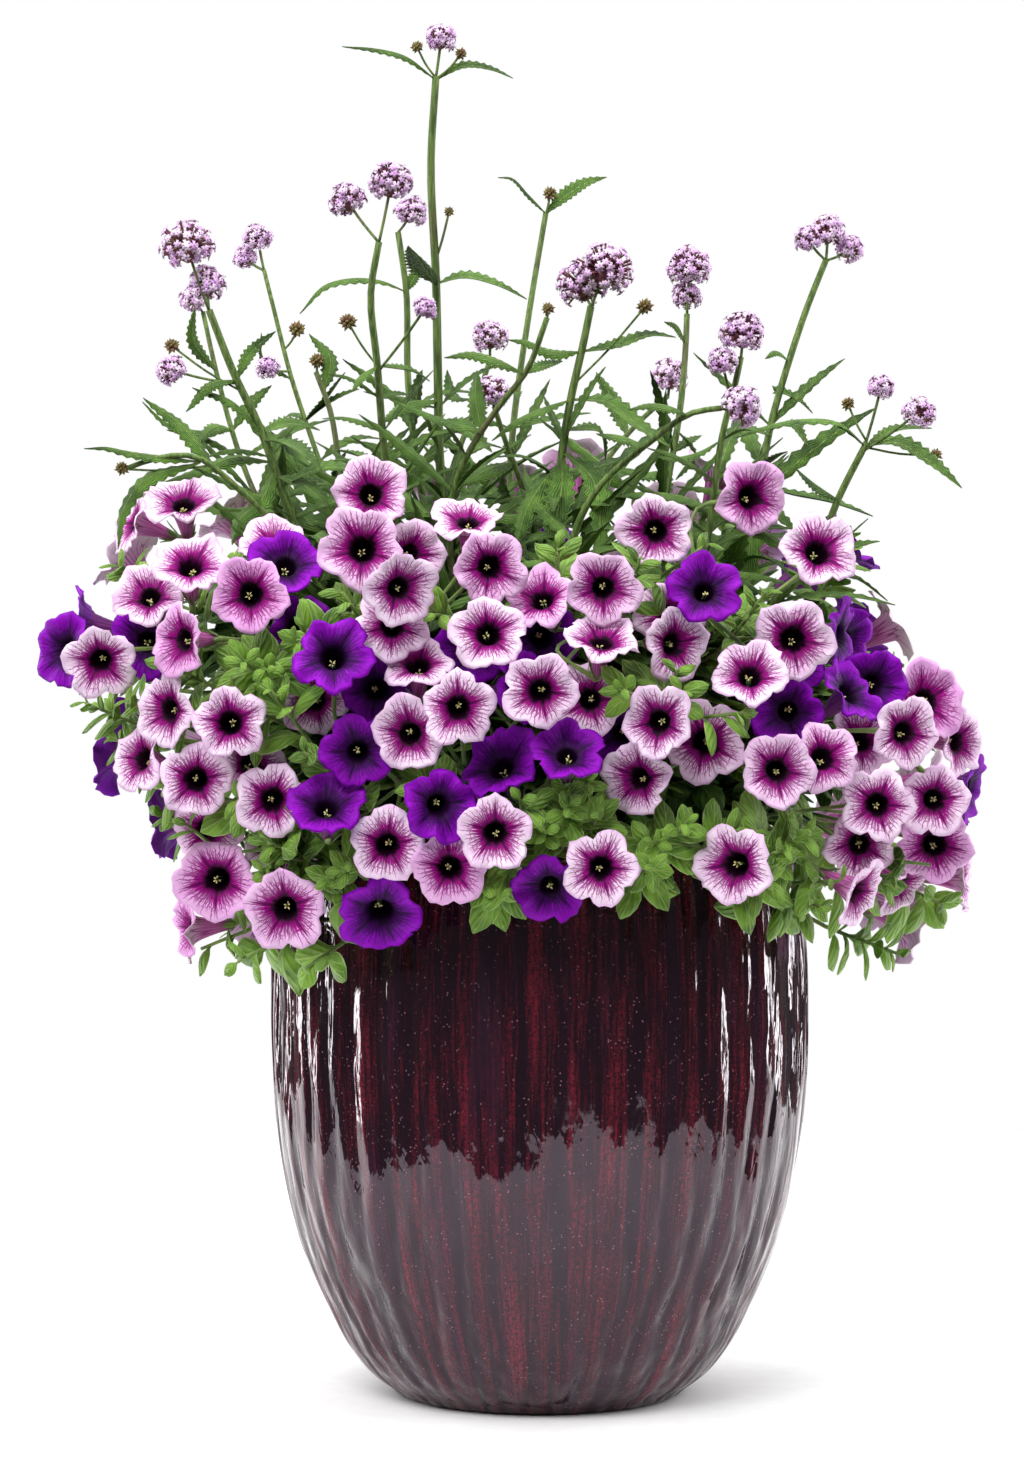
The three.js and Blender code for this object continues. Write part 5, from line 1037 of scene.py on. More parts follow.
def add_rod(pile, path, radii, sides, finish, square=0.0):
    """Adds a rod to a pile. Its finish needs no painted numbers, so its points stand in for them."""
    points, faces_ = rod(path, radii, sides, square)
    pile.add(points, faces_, points * 4, finish)


def add_bead(pile, centre, way, r, long, sides, finish):
    points, faces_ = bead(centre, way, r, long, sides)
    pile.add(points, faces_, points * 4, finish)


def sepals(pile, b, drawn):
    """Five narrow leaves round the foot of the tube. One that would cut another bloom is left off."""
    end = b["centre"] - b["face"] * 1.41 * b["R"]
    v = np.cross(b["face"], b["u"])
    for k in range(5):
        a = TAU * (k + 0.5) / 5 + drawn.normal(0, 0.08)
        out = b["u"] * math.cos(a) + v * math.sin(a)
        side = -b["u"] * math.sin(a) + v * math.cos(a)
        long = b["R"] * drawn.uniform(0.42, 0.52)
        flare = drawn.uniform(0.16, 0.34)
        t = np.linspace(0, 1, 5)[:, None]
        spread = 0.075 + flare * t ** 1.6 * 0.6 + 0.09 * np.sqrt(t)
        path = end + b["face"] * long * t + out * b["R"] * spread
        path[0] = end - b["face"] * 0.02 * b["R"]
        halves = b["R"] * 0.062 * np.array([0.9, 1.0, 1.15, 0.9, 0.05])
        points, faces_, _ = blade(path, halves, side, 0.15, 0.0006, 3)
        if not cuts_petals(points, faces_[0], b["index"]):
            pile.add(points, faces_, points * 4, GREEN)


def stamens(pile, b, drawn):
    """Five threads with a grain of pollen each, close together in the throat."""
    v = np.cross(b["face"], b["u"])
    lean = 0.05 * (b["u"] * math.cos(b["index"]) + v * math.sin(b["index"]))
    for k in range(5):
        a = TAU * k / 5 + drawn.uniform(-0.4, 0.4)
        out = b["u"] * math.cos(a) + v * math.sin(a)
        foot = b["centre"] - b["face"] * 0.78 * b["R"] + out * 0.03 * b["R"]
        rise, spread = drawn.uniform(0.3, 0.46), drawn.uniform(0.04, 0.07)
        tip = b["centre"] + b["R"] * (-b["face"] * rise + out * spread + lean)
        add_rod(pile, [foot, tip], 0.00035, 3, GREEN)
        add_bead(pile, tip, unit(out + b["face"] * 0.6), 0.00065, 0.0011, 5, POLLEN)


def root_of_spray(pile, knot, rest):
    """The stalk from the knot into the plant, to the far end of the frame's own."""
    far = rest[np.argsort(np.linalg.norm(rest - knot, axis=1))]
    end = far[-3:].mean(0)
    middle = (knot + end) / 2 + np.array([0, 0, -0.03]) * np.linalg.norm(knot - end)
    add_rod(pile, eased([knot, middle, end], 12), np.linspace(0.0022, 0.0026, 12), 8, GREEN)
    add_bead(pile, knot, unit(knot - end), 0.0036, 0.0046, 10, GREEN)


print("parts of a spray ready")

# %% [markdown]
# The net of a bloom has its inside rows first, so its first faces get the front's finish and the others the
# back's. Both share the points of the rim.

# %% Sprays of blooms
fronts = (len(INSIDE) - 1) * AROUND_BLOOM
for name, spray in sprays.items():
    pile = Pile()
    for b in spray["blooms"]:
        pile.add(b["points"], [bloom_net[:fronts]], b["numbers"], FRONT)
        pile.faces.append(bloom_net[fronts:] + pile.count - bloom_size)
        pile.finish.append(np.full(len(bloom_net) - fronts, BACK))
        sepals(pile, b, b["drawn"])
        stamens(pile, b, b["drawn"])
        path = eased(b["way"], 3 * len(b["way"]) + 1)
        along = np.linspace(0, 1, len(path))
        add_rod(pile, path, np.interp(along, [0, 0.12, 0.3, 1], [0.0026, 0.0018, 0.0012, 0.0014]), 6, GREEN)
    if len(spray["rest"]):
        root_of_spray(pile, spray["knot"], spray["rest"])
    pink = name.startswith("pink")
    finishes = [pink_front, pink_back] if pink else [violet_front, violet_back]
    piece = pile.piece("spray_of_" + name, finishes + [pollen, stalk_green])
    triangles += dressed(piece, name)
print("triangles so far", triangles)

# %% [markdown]
# ## Leaf finishes
# Petunia leaves are soft, bright and slightly sticky, with a paler rib, pale side veins that curve to the
# tip and a fine pale edge of hairs. Verbena leaves are darker and puckered between many sunken veins. Both
# read the leaf's own length and width, which are painted on its points, so the veins follow its bend.

# %% Leaf finishes
def leaf_finish(name, dark, bright, rib_colour, edge_colour, many, pucker, rough):
    """A leaf with a rib and side veins. The veins are the crests of a wave that slants to the tip."""
    bench = Bench(name)
    along, across, seed = bench.painted()
    wide = bench.reckon("ABSOLUTE", across)
    spot = bench.place()
    tone = bench.noise(spot, 45, 3, 0.6)
    own = bench.noise(bench.joined(seed, bench.times(seed, 3.1), 0.5), 40, 1)
    colour = bench.mix(bench.step(tone, 0.32, 0.68), dark, bright)
    colour = bench.mix(bench.step(own, 0.35, 0.65, 0.0, 0.55), colour, bright)
    slant = bench.times_plus(wide, -0.55, along)
    wave = bench.reckon("SINE", bench.times_plus(slant, many, bench.times(tone, 1.6)))
    side_veins = bench.times(bench.step(wave, 0.72, 0.98), bench.step(wide, 0.95, 0.6))
    rib = bench.step(wide, 0.11, 0.03)
    veins = bench.larger(rib, bench.times(side_veins, 0.6))
    colour = bench.mix(bench.times(veins, 0.55), colour, rib_colour)
    colour = bench.mix(bench.step(wide, 0.86, 1.0, 0.0, 0.6), colour, edge_colour)
    colour = bench.mix(bench.step(along, 0.16, 0.0, 0.0, 0.4), colour, rib_colour)
    sunken = bench.times_plus(wave, -0.5, bench.times(rib, -1.5))
    normal = bench.bump(sunken, pucker, 0.0012)
    normal = bench.bump(bench.noise(spot, 380, 3, 0.6), 0.25, 0.0007, normal)
    roughness = bench.step(tone, 0.3, 0.7, rough - 0.06, rough + 0.06)
    return bench.done(colour, roughness, normal, IOR=1.33, Sheen_Weight=0.04, Sheen_Roughness=0.4)


petunia_green = leaf_finish(
    "petunia_leaf", dark=paint(50, 88, 24), bright=paint(126, 170, 58), rib_colour=paint(170, 200, 112),
    edge_colour=paint(190, 214, 138), many=24.0, pucker=0.5, rough=0.44)
# The same leaf with painted shade: a darker copy for leaves deep in the plants and under the verbena.
painted_shade_green = leaf_finish(
    "leaf_with_painted_shade", dark=paint(32, 60, 18), bright=paint(74, 112, 36), rib_colour=paint(96, 132, 56),
    edge_colour=paint(108, 142, 68), many=24.0, pucker=0.5, rough=0.5)
verbena_green = leaf_finish(
    "verbena_leaf", dark=paint(40, 78, 28), bright=paint(114, 160, 64), rib_colour=paint(166, 196, 104),
    edge_colour=paint(140, 174, 86), many=62.0, pucker=0.9, rough=0.46)
print("leaf finishes mixed")

# %% [markdown]
# ## The petunia plants
# The petunias make a mound that is wider than the pot. It's kept as outlines: rows of a height and how far
# the mound reaches to the left, to the right and to the front. Between them its surface is a rounded square,
# which is fuller than an ellipse. Shoots ask here where the mound's surface is.

# %% The mound that the blooms make
LEFT = np.array([
    [270, 215], [300, 235], [330, 255], [370, 262], [430, 292], [470, 325], [515, 342], [560, 326],
    [600, 295], [640, 215], [670, 120],
]) * MM
RIGHT = np.array([
    [270, 215], [300, 240], [330, 285], [370, 300], [430, 305], [470, 296], [515, 240], [560, 225],
    [600, 225], [640, 155], [670, 80],
]) * MM
FORWARD = np.array([
    [270, 222], [300, 230], [330, 242], [370, 250], [430, 258], [470, 262], [515, 258], [560, 243],
    [600, 212], [640, 165], [670, 100],
]) * MM


def mound_point(turn, z):
    """The point of the mound of blooms at an angle from the right-hand side and a height."""
    side = LEFT if math.cos(turn) < 0 else RIGHT
    across, deep = np.interp(z, side[:, 0], side[:, 1]), np.interp(z, FORWARD[:, 0], FORWARD[:, 1])
    r = ((abs(math.cos(turn)) / across) ** 2.2 + (abs(math.sin(turn)) / deep) ** 2.2) ** (-1 / 2.2)
    return np.array([r * math.cos(turn), r * math.sin(turn), z])


def on_mound(px, py):
    """The point of the mound's front at a pixel of the photograph."""
    y = -0.2
    for _ in range(9):
        p = seen(px, py, y)
        side = LEFT if p[0] < 0 else RIGHT
        share = min(abs(p[0]) / np.interp(p[2], side[:, 0], side[:, 1]), 1)
        y = (y - np.interp(p[2], FORWARD[:, 0], FORWARD[:, 1]) * (1 - share ** 2.2) ** (1 / 2.2)) / 2
    return seen(px, py, y)


print("mound at the front", np.round(on_mound(512, 750), 3))

# %% [markdown]
# The plants under the blooms make a ring-shaped bush. Its outer and inner side are rows of a height and how
# far the bush reaches sideways and in depth. A leaf that would cut through a bloom, hide its face or sink
# in the pot is left off.

# %% The bush, and room for leaves
BUSH_OUT = np.array([
    [353, 138, 138], [392, 154, 150], [440, 196, 160], [490, 206, 154], [522, 192, 140],
]) * MM
BUSH_IN = np.array([[353, 84, 66], [522, 160, 106]]) * MM


def bush_reach(rows, turn, z):
    """How far a bush's outline is from the pot's axis at an angle and a height."""
    across, deep = np.interp(z, rows[:, 0], rows[:, 1]), np.interp(z, rows[:, 0], rows[:, 2])
    return 1 / np.hypot(np.cos(turn) / across, np.sin(turn) / deep)


# Leaves keep off the pot's wall below its top, between two distances from the axis, and off the soil.
POT_TOP, POT_IN, POT_OUT = 0.388, 0.163, 0.193
SOIL_CLEAR, SOIL_WIDE = 0.356, 0.17


def free(points, before=0.009, behind=0.0005):
    """Whether points keep off all blooms, their faces and tubes, and the pot."""
    points = np.atleast_2d(points)
    v = points[:, None] - centres
    # How deep each point lies behind each bloom's middle, and how far from its axis.
    deep = -np.einsum("pbk,bk->pb", v, faces)
    r = np.linalg.norm(v + deep[..., None] * faces, axis=2)
    sheet = 0.25 * sizes * np.clip((sizes - np.minimum(r, sizes)) / (0.73 * sizes), 0, 1)
    limb = (r < sizes * 1.02) & (deep > sheet - before) & (deep < sheet + 0.06 * sizes + behind)
    tube_r = (0.36 - 0.2 * np.clip(deep / sizes, 0, 1.3)) * sizes + 0.001
    tube = (deep > 0) & (deep < 1.4 * sizes) & (r < tube_r)
    around = np.hypot(points[:, 0], points[:, 1])
    in_pot = (points[:, 2] < POT_TOP) & (around > POT_IN) & (around < POT_OUT)
    low = (points[:, 2] < SOIL_CLEAR) & (around < SOIL_WIDE)
    return not (limb.any() or tube.any() or in_pot.any() or low.any())


print("bush in front at its top", round(float(bush_reach(BUSH_OUT, -math.pi / 2, 0.522)), 3))

# %% [markdown]
# A petunia leaf is a broad oval on a short flat stalk. Its rib rises a little and then droops, and the whole
# leaf bends to one side. It could be one leaf copied with a new size, but each is drawn anew, because the
# eye finds copies quickly in a mass of leaves.

# %% Petunia leaves
LEAF_STEPS = np.array([0, 0.14, 0.32, 0.52, 0.72, 0.88, 1.0])
LEAF_WIDE = np.array([0.10, 0.26, 0.80, 1.0, 0.92, 0.64, 0.08])


def petunia_leaf(pile, base, way, up, long, wide, drawn, finish, columns):
    """Sets one oval leaf if it has room, and says whether it did."""
    way = unit(way)
    up = unit(up - way * (up @ way))
    side = np.cross(way, up)
    droop, bend = drawn.uniform(0.05, 0.35), drawn.normal(0, 0.08)
    s = LEAF_STEPS[:, None]
    path = base + long * (way * s + up * (0.12 * np.sin(np.pi * s) - droop * s ** 2) + side * bend * s ** 2)
    halves = wide / 2 * LEAF_WIDE
    edges_ = side * halves[2:6, None]
    if not free(np.concatenate([path[2:], path[2:6] + edges_, path[2:6] - edges_])):
        return False
    points, faces_, numbers = blade(path, halves, side, drawn.uniform(0.12, 0.4), 0.0007, columns)
    if cuts_petals(points, faces_[0]):
        return False
    seeds = np.full((len(numbers), 1), drawn.uniform())
    pile.add(points, faces_, np.concatenate([numbers, seeds], axis=1), finish)
    return True


print("steps along a leaf", len(LEAF_STEPS))

# %% [markdown]
# Between the blooms show leafy shoots, with leaves that get smaller towards a tuft at the tip. Each shoot
# is a soft stem with its leaves set round it by the golden angle, near 2.4 radians, as on a real shoot. The
# stem sags or bends aside until it cuts no bloom. A shoot that finds no such way is left off.

# %% Leafy shoots
# Finishes of a plant's piece: the leaf, the darker leaf with painted shade, and the stems.
BRIGHT, PAINTED_SHADE, STEM = 0, 1, 2
GOLDEN = 2.4
BENDS = ((0, -0.12), (0.14, -0.05), (-0.14, -0.05), (0, 0.1), (0.26, 0), (-0.26, 0), (0, -0.3))


def free_stem(foot, tip):
    """A stem's path, points and faces, bent by the first way that cuts no petal."""
    run = np.linalg.norm(tip - foot)
    beside = unit(np.cross(tip - foot, (0, 0, 1.0)))
    for aside, up in BENDS:
        middle = (foot + tip) / 2 + run * (beside * aside + np.array([0, 0, up]))
        path = eased([foot, middle, tip], 10)
        points, faces_ = rod(path, np.linspace(0.0022, 0.0012, 10), 5)
        if not cuts_petals(points, faces_[0]):
            return path, points, faces_
    return None


def leafy_shoot(pile, foot, tip, drawn, leaves, long, finish=BRIGHT, broad=0.0):
    """A soft stem with leaves round it that get smaller towards the tuft at its tip."""
    stem = free_stem(foot, tip)
    if stem is None:
        return 0
    path, points, faces_ = stem
    pile.add(points, faces_, points * 4, STEM)
    way = unit(path[-1] - path[-3])
    u = unit(np.cross(way, (0.2, 0.1, 1.0)))
    v = np.cross(way, u)
    stretch = min(0.05, np.linalg.norm(tip - foot) * 0.7)
    spin = drawn.uniform(0, TAU)
    for k in range(leaves):
        share = k / (leaves - 1)
        base = tip - way * stretch * (1 - share)
        a = spin + GOLDEN * k
        out = u * math.cos(a) + v * math.sin(a)
        size = long * (1 - 0.68 * share ** 1.4) * drawn.uniform(0.85, 1.15)
        lean = 0.25 + 1.0 * share
        wide = size * (drawn.uniform(0.46, 0.6) + broad)
        columns = 5 if share < 0.5 else 3
        petunia_leaf(pile, base, out + way * lean, way + out * 0.2, size, wide, drawn, finish, columns)
    return 1


print("ways for a stem to bend", len(BENDS))

# %% [markdown]
# The tips of the outer shoots on the front were measured in the photograph. Those at the sides and behind,
# which the photograph doesn't show, are spread evenly by the golden share of a turn. Four more stand deeper
# in the left flank, where they close gaps behind the outer blooms. The low shoots at the left have fewer and
# broader leaves.

# %% Outer shoots
SHOOT_TIPS = [
    [570, 806], [338, 870], [440, 885], [520, 868], [806, 838], [690, 822], [655, 868], [232, 662],
    [262, 690], [88, 708], [188, 826], [238, 962], [306, 968], [830, 905], [548, 868], [748, 712],
    [686, 668], [868, 672], [706, 545], [432, 612], [152, 560], [640, 560], [330, 590], [910, 880],
    [560, 545], [780, 590], [300, 752], [520, 800], [690, 690], [420, 780], [600, 812], [325, 880],
    [790, 850], [820, 832], [60, 700], [115, 700], [545, 830], [510, 890], [480, 880], [252, 668],
    [848, 880], [665, 840], [740, 830], [770, 880], [350, 895], [590, 780], [462, 790], [294, 626],
    [272, 856], [290, 640], [255, 872], [148, 660], [205, 690], [470, 640], [620, 690], [232, 800],
    [246, 814], [250, 868], [225, 850], [285, 800], [104, 738], [134, 764], [184, 884], [262, 842],
]
DEEP_TIPS = [[230, 796, 0.02], [244, 838, 0.0], [243, 850, 0.05], [252, 874, 0.02]]
PLANTS, GOLDEN_SHARE = 6, 0.618


def plant_at(turn):
    """The plant in whose part of the ring an angle lies."""
    return int((turn % TAU) / TAU * PLANTS)


drawn = np.random.default_rng(31)
tips = [on_mound(px, py) for px, py in SHOOT_TIPS] + [seen(*place) for place in DEEP_TIPS]
for k in range(64):
    turn = TAU * ((k * GOLDEN_SHARE) % 1)
    if not -2.7 < (turn + math.pi) % TAU - math.pi < -0.45:
        tips.append(mound_point(turn, 0.30 + 0.33 * drawn.uniform()))
piles, made = [Pile() for _ in range(PLANTS)], 0
for tip in tips:
    turn = math.atan2(tip[1], tip[0])
    pile = piles[plant_at(turn)]
    z = min(max(tip[2] - 0.02, 0.40), 0.505)
    r = bush_reach(BUSH_OUT, turn, z) * 0.8
    foot = np.array([r * math.cos(turn), r * math.sin(turn), z])
    out = unit(np.array([tip[0] * 0.8, tip[1], 0.03]))
    long = drawn.uniform(0.03, 0.042)
    if tip[2] < 0.36 and tip[0] < -0.12:
        made += leafy_shoot(pile, foot, tip, drawn, 7, long * 1.25, BRIGHT, 0.25)
    else:
        made += leafy_shoot(pile, foot, tip - out * drawn.uniform(0.0, 0.018), drawn, 13, long)
print("outer shoots", made, "of", len(tips))

# %% [markdown]
# Between the outer blooms and the verbena, shoots rise out of the plants and close the mound's top. They
# stand in the shade of the verbena, so two of three have leaves with painted shade, in the darker leaf
# finish.

# %% Upper shoots
for k in range(54):
    turn = TAU * ((k * GOLDEN_SHARE + 0.2) % 1)
    share = 0.42 + 0.4 * ((k * 0.382) % 1)
    z = 0.60 - 0.09 * share + drawn.uniform(-0.025, 0.03)
    tip = mound_point(turn, 0.515) * [share, share, 0] + [0, 0, z]
    inner, outer = bush_reach(BUSH_IN, turn, 0.505) * 1.1, bush_reach(BUSH_OUT, turn, 0.505) * 0.85
    r = min(outer, max(np.hypot(tip[0], tip[1]) * 0.85, inner))
    foot = np.array([r * math.cos(turn), r * math.sin(turn), 0.5])
    # Two of three shoots get the darker leaf finish with painted shade.
    finish = PAINTED_SHADE if k % 3 else BRIGHT
    made += leafy_shoot(piles[plant_at(turn)], foot, tip, drawn, 11, drawn.uniform(0.034, 0.046), finish)
print("shoots", made, "points", [p.count for p in piles])

# %% [markdown]
# Under the shoots each plant is a thicket. Its body is a rough bush with painted shade, in the darker leaf
# finish:
# the plant's own part of the ring, as one closed shell of rows that go up the outer side and down the inner
# one.

# %% The body of a bush
def bush_body(pile, start, end, drawn):
    """The body of a plant in the darker leaf finish, with painted shade: its part of the ring, roughened."""
    turns, levels = np.linspace(start, end, 22), np.linspace(0.353, 0.516, 12)
    rows = []
    for z in np.concatenate([levels, levels[::-1]]):
        outer = len(rows) < len(levels)
        table = BUSH_OUT if outer else BUSH_IN
        reach = bush_reach(table, turns, z) * (0.84 if outer else 1.04)
        rough = 0.004 * drawn.normal(0, 1, len(turns))
        rows.append(np.stack([(reach + rough) * np.cos(turns), (reach + rough) * np.sin(turns),
                              z + 0.003 * drawn.normal(0, 1, len(turns))], axis=-1))
    points = np.concatenate(rows)
    count = len(turns)
    net = grid_faces(len(rows), count, closed=False)
    bottom = np.stack([np.arange(count - 1) + 1, np.arange(count - 1)], axis=-1)
    closing = np.concatenate([bottom, bottom[:, ::-1] + (len(rows) - 1) * count], axis=1)
    ends = []
    for k in range(len(levels) - 1):
        m = len(rows) - 1 - k
        ends.append([k * count, (k + 1) * count, (m - 1) * count, m * count])
        ends.append([(k + 1) * count - 1, m * count + count - 1, m * count - 1, (k + 2) * count - 1])
    numbers = [0.5 + 0 * points[:, 0], 0.5 + 0.3 * np.sin(points[:, 2] * 300), points[:, 0] * 9]
    # The whole body takes the darker leaf finish with painted shade.
    pile.add(points, [net, closing, np.array(ends)], np.stack(numbers, axis=-1), PAINTED_SHADE)


print("plants in the ring", PLANTS)

# %% [markdown]
# Leaves stand out of that body in all directions, most of them in the leaf finish with painted shade, darker
# than those of the tips. They are drawn at random heights and angles of the plant's own part of the ring,
# and only those with room are kept.

# %% The thicket of each plant
TRIES = 330


def thicket(pile, start, end, drawn):
    """Leaves that stand out of a plant's top and side, between two angles. Says how many had room."""
    kept = 0
    for _ in range(TRIES):
        turn, z = drawn.uniform(start, end), drawn.uniform(0.365, 0.52)
        out = [math.cos(turn), math.sin(turn)]
        if drawn.uniform() < 0.3:
            inner, outer = bush_reach(BUSH_IN, turn, 0.52), bush_reach(BUSH_OUT, turn, 0.52)
            r, z = drawn.uniform(inner, outer), 0.508
            way = np.array([*out, drawn.uniform(0.5, 1.8)]) + drawn.normal(0, 0.5, 3)
        else:
            r = bush_reach(BUSH_OUT, turn, z) * drawn.uniform(0.8, 0.98)
            way = np.array([*out, drawn.uniform(-0.4, 0.8)]) + drawn.normal(0, 0.45, 3)
        base = np.array([r * math.cos(turn), r * math.sin(turn), z])
        long = drawn.uniform(0.026, 0.05)
        up = np.array([0, 0, 1.0]) + drawn.normal(0, 0.25, 3)
        wide = long * drawn.uniform(0.42, 0.6)
        # Three in five leaves get the darker leaf finish with painted shade.
        finish = PAINTED_SHADE if drawn.uniform() < 0.6 else BRIGHT
        kept += petunia_leaf(pile, base, way, up, long, wide, drawn, finish, 3)
    return kept


for plant, pile in enumerate(piles):
    start, end = plant / PLANTS * TAU, (plant + 1) / PLANTS * TAU
    drawn = np.random.default_rng(90 + plant)
    bush_body(pile, start + 0.004, end - 0.004, drawn)
    middle = (start + end) / 2
    foot = np.array([0.108 * math.cos(middle), 0.108 * math.sin(middle), 0.345])
    add_rod(pile, eased([foot, foot + [0, 0, 0.05]], 5), 0.005, 8, STEM)
    kept = thicket(pile, start, end, drawn)
    name = "petunia_plant_" + str(plant + 1)
    # The piece's finishes: the leaf, the darker leaf with painted shade, and the stems.
    piece = pile.piece("leafy_" + name, [petunia_green, painted_shade_green, stalk_green])
    triangles += dressed(piece, name)
    print(name, "leaves of the thicket", kept, "triangles so far", triangles)

# %% [markdown]
# ## The verbena
# Three verbenas stand in the middle. Their stems are square, stiff and branched, green with a purple tinge,
# and carry pairs of narrow toothed leaves. Their places were measured in the photograph, in pixels. Depths
# and thicknesses are in mm. A depth isn't in the photograph, so it was chosen, and the frame was built to
# the same.

# %% Verbena stems as measured
# Where the crowns stand in the soil, in mm.
CROWNS = {1: [-48, -14, 352], 2: [4, 26, 352], 3: [52, -10, 352]}
# A stem: its crown, its depth at the top, its thickness, and its pixels from low to high.
STEMS = [
    [2, -10, 4.6, [[440, 465], [438, 380], [436, 280], [431, 160], [436, 76]]],
    [2, -75, 4.2, [[388, 480], [377, 362], [371, 290], [379, 242]]],
    [2, 45, 3.8, [[418, 470], [408, 380], [406, 288], [398, 232]]],
    [2, -115, 3.6, [[470, 450], [500, 405], [526, 372], [547, 318]]],
    [3, -40, 4.6, [[560, 470], [571, 398], [583, 345], [591, 306]]],
    [2, 150, 3.6, [[512, 440], [528, 320], [546, 212]]],
    [3, -125, 3.8, [[610, 475], [650, 442], [695, 412], [722, 408]]],
    [3, 95, 3.8, [[668, 480], [680, 410], [686, 340], [687, 314]]],
    [3, -70, 3.8, [[712, 510], [723, 432], [735, 385], [741, 357]]],
    [3, 60, 4.0, [[758, 490], [772, 420], [790, 358], [808, 305], [826, 260]]],
    [3, -60, 4.2, [[815, 555], [840, 495], [867, 442]]],
    [1, -50, 4.6, [[282, 490], [260, 428], [235, 376], [209, 310]]],
    [1, 90, 3.4, [[245, 470], [217, 375], [203, 312]]],
    [1, 140, 3.6, [[312, 440], [292, 380], [274, 310], [264, 270]]],
    [1, -90, 3.4, [[240, 490], [192, 456], [150, 460], [128, 468]]],
    [2, 110, 3.4, [[452, 470], [470, 420], [490, 360]]],
    [3, 130, 3.4, [[600, 470], [636, 425], [668, 396]]],
    [1, 40, 3.4, [[340, 470], [330, 410], [316, 372]]],
    [2, -40, 3.2, [[520, 480], [505, 440], [494, 406]]],
]
print("stems", len(STEMS))

# %% [markdown]
# Heads and buds were measured as balls: the middle and the width in pixels, and the stem they grow on.

# %% Verbena heads and buds as measured
# A head at a stem's tip: the stem, and each of its balls.
HEADS = [
    [0, [[441, 40, 31]]], [1, [[391, 184, 44], [347, 201, 36]]], [2, [[411, 213, 34]]],
    [11, [[187, 247, 52], [207, 285, 38]]], [12, [[196, 299, 32]]],
    [13, [[258, 239, 32], [246, 258, 26]]], [4, [[604, 272, 56], [583, 286, 50]]], [15, [[490, 338, 38]]],
    [18, [[492, 393, 34]]], [7, [[689, 269, 46], [687, 297, 32]]], [16, [[670, 378, 38]]],
    [8, [[743, 334, 46]]], [6, [[741, 408, 42]]], [9, [[828, 233, 36], [848, 250, 30], [808, 240, 28]]],
]
# A head at a stem's side, or a bud: the stem, the row where its stalk begins, and the ball.
SIDE_HEADS = [
    [8, 398, [722, 362, 30]], [10, 446, [881, 388, 27]], [10, 452, [918, 413, 34]],
    [11, 384, [173, 371, 30]], [1, 372, [425, 309, 24]], [13, 372, [268, 368, 24]],
]
BUDS = [
    [0, 78, [417, 47, 14]], [0, 79, [461, 54, 14]], [0, 262, [449, 212, 12]], [1, 366, [348, 322, 19]],
    [3, 320, [548, 309, 14]], [4, 384, [645, 307, 18]], [5, 216, [550, 194, 17]],
    [11, 392, [172, 346, 17]], [17, 374, [317, 361, 18]], [9, 424, [752, 470, 18]],
    [10, 440, [848, 404, 15]], [10, 447, [936, 455, 14]], [14, 466, [122, 469, 15]],
    [13, 350, [297, 330, 20]],
]
print("balls of florets", sum(len(h[1]) for h in HEADS) + len(SIDE_HEADS), "buds", len(BUDS))

# %% [markdown]
# The large leaves were measured as rows of pixels from the stem to the tip.

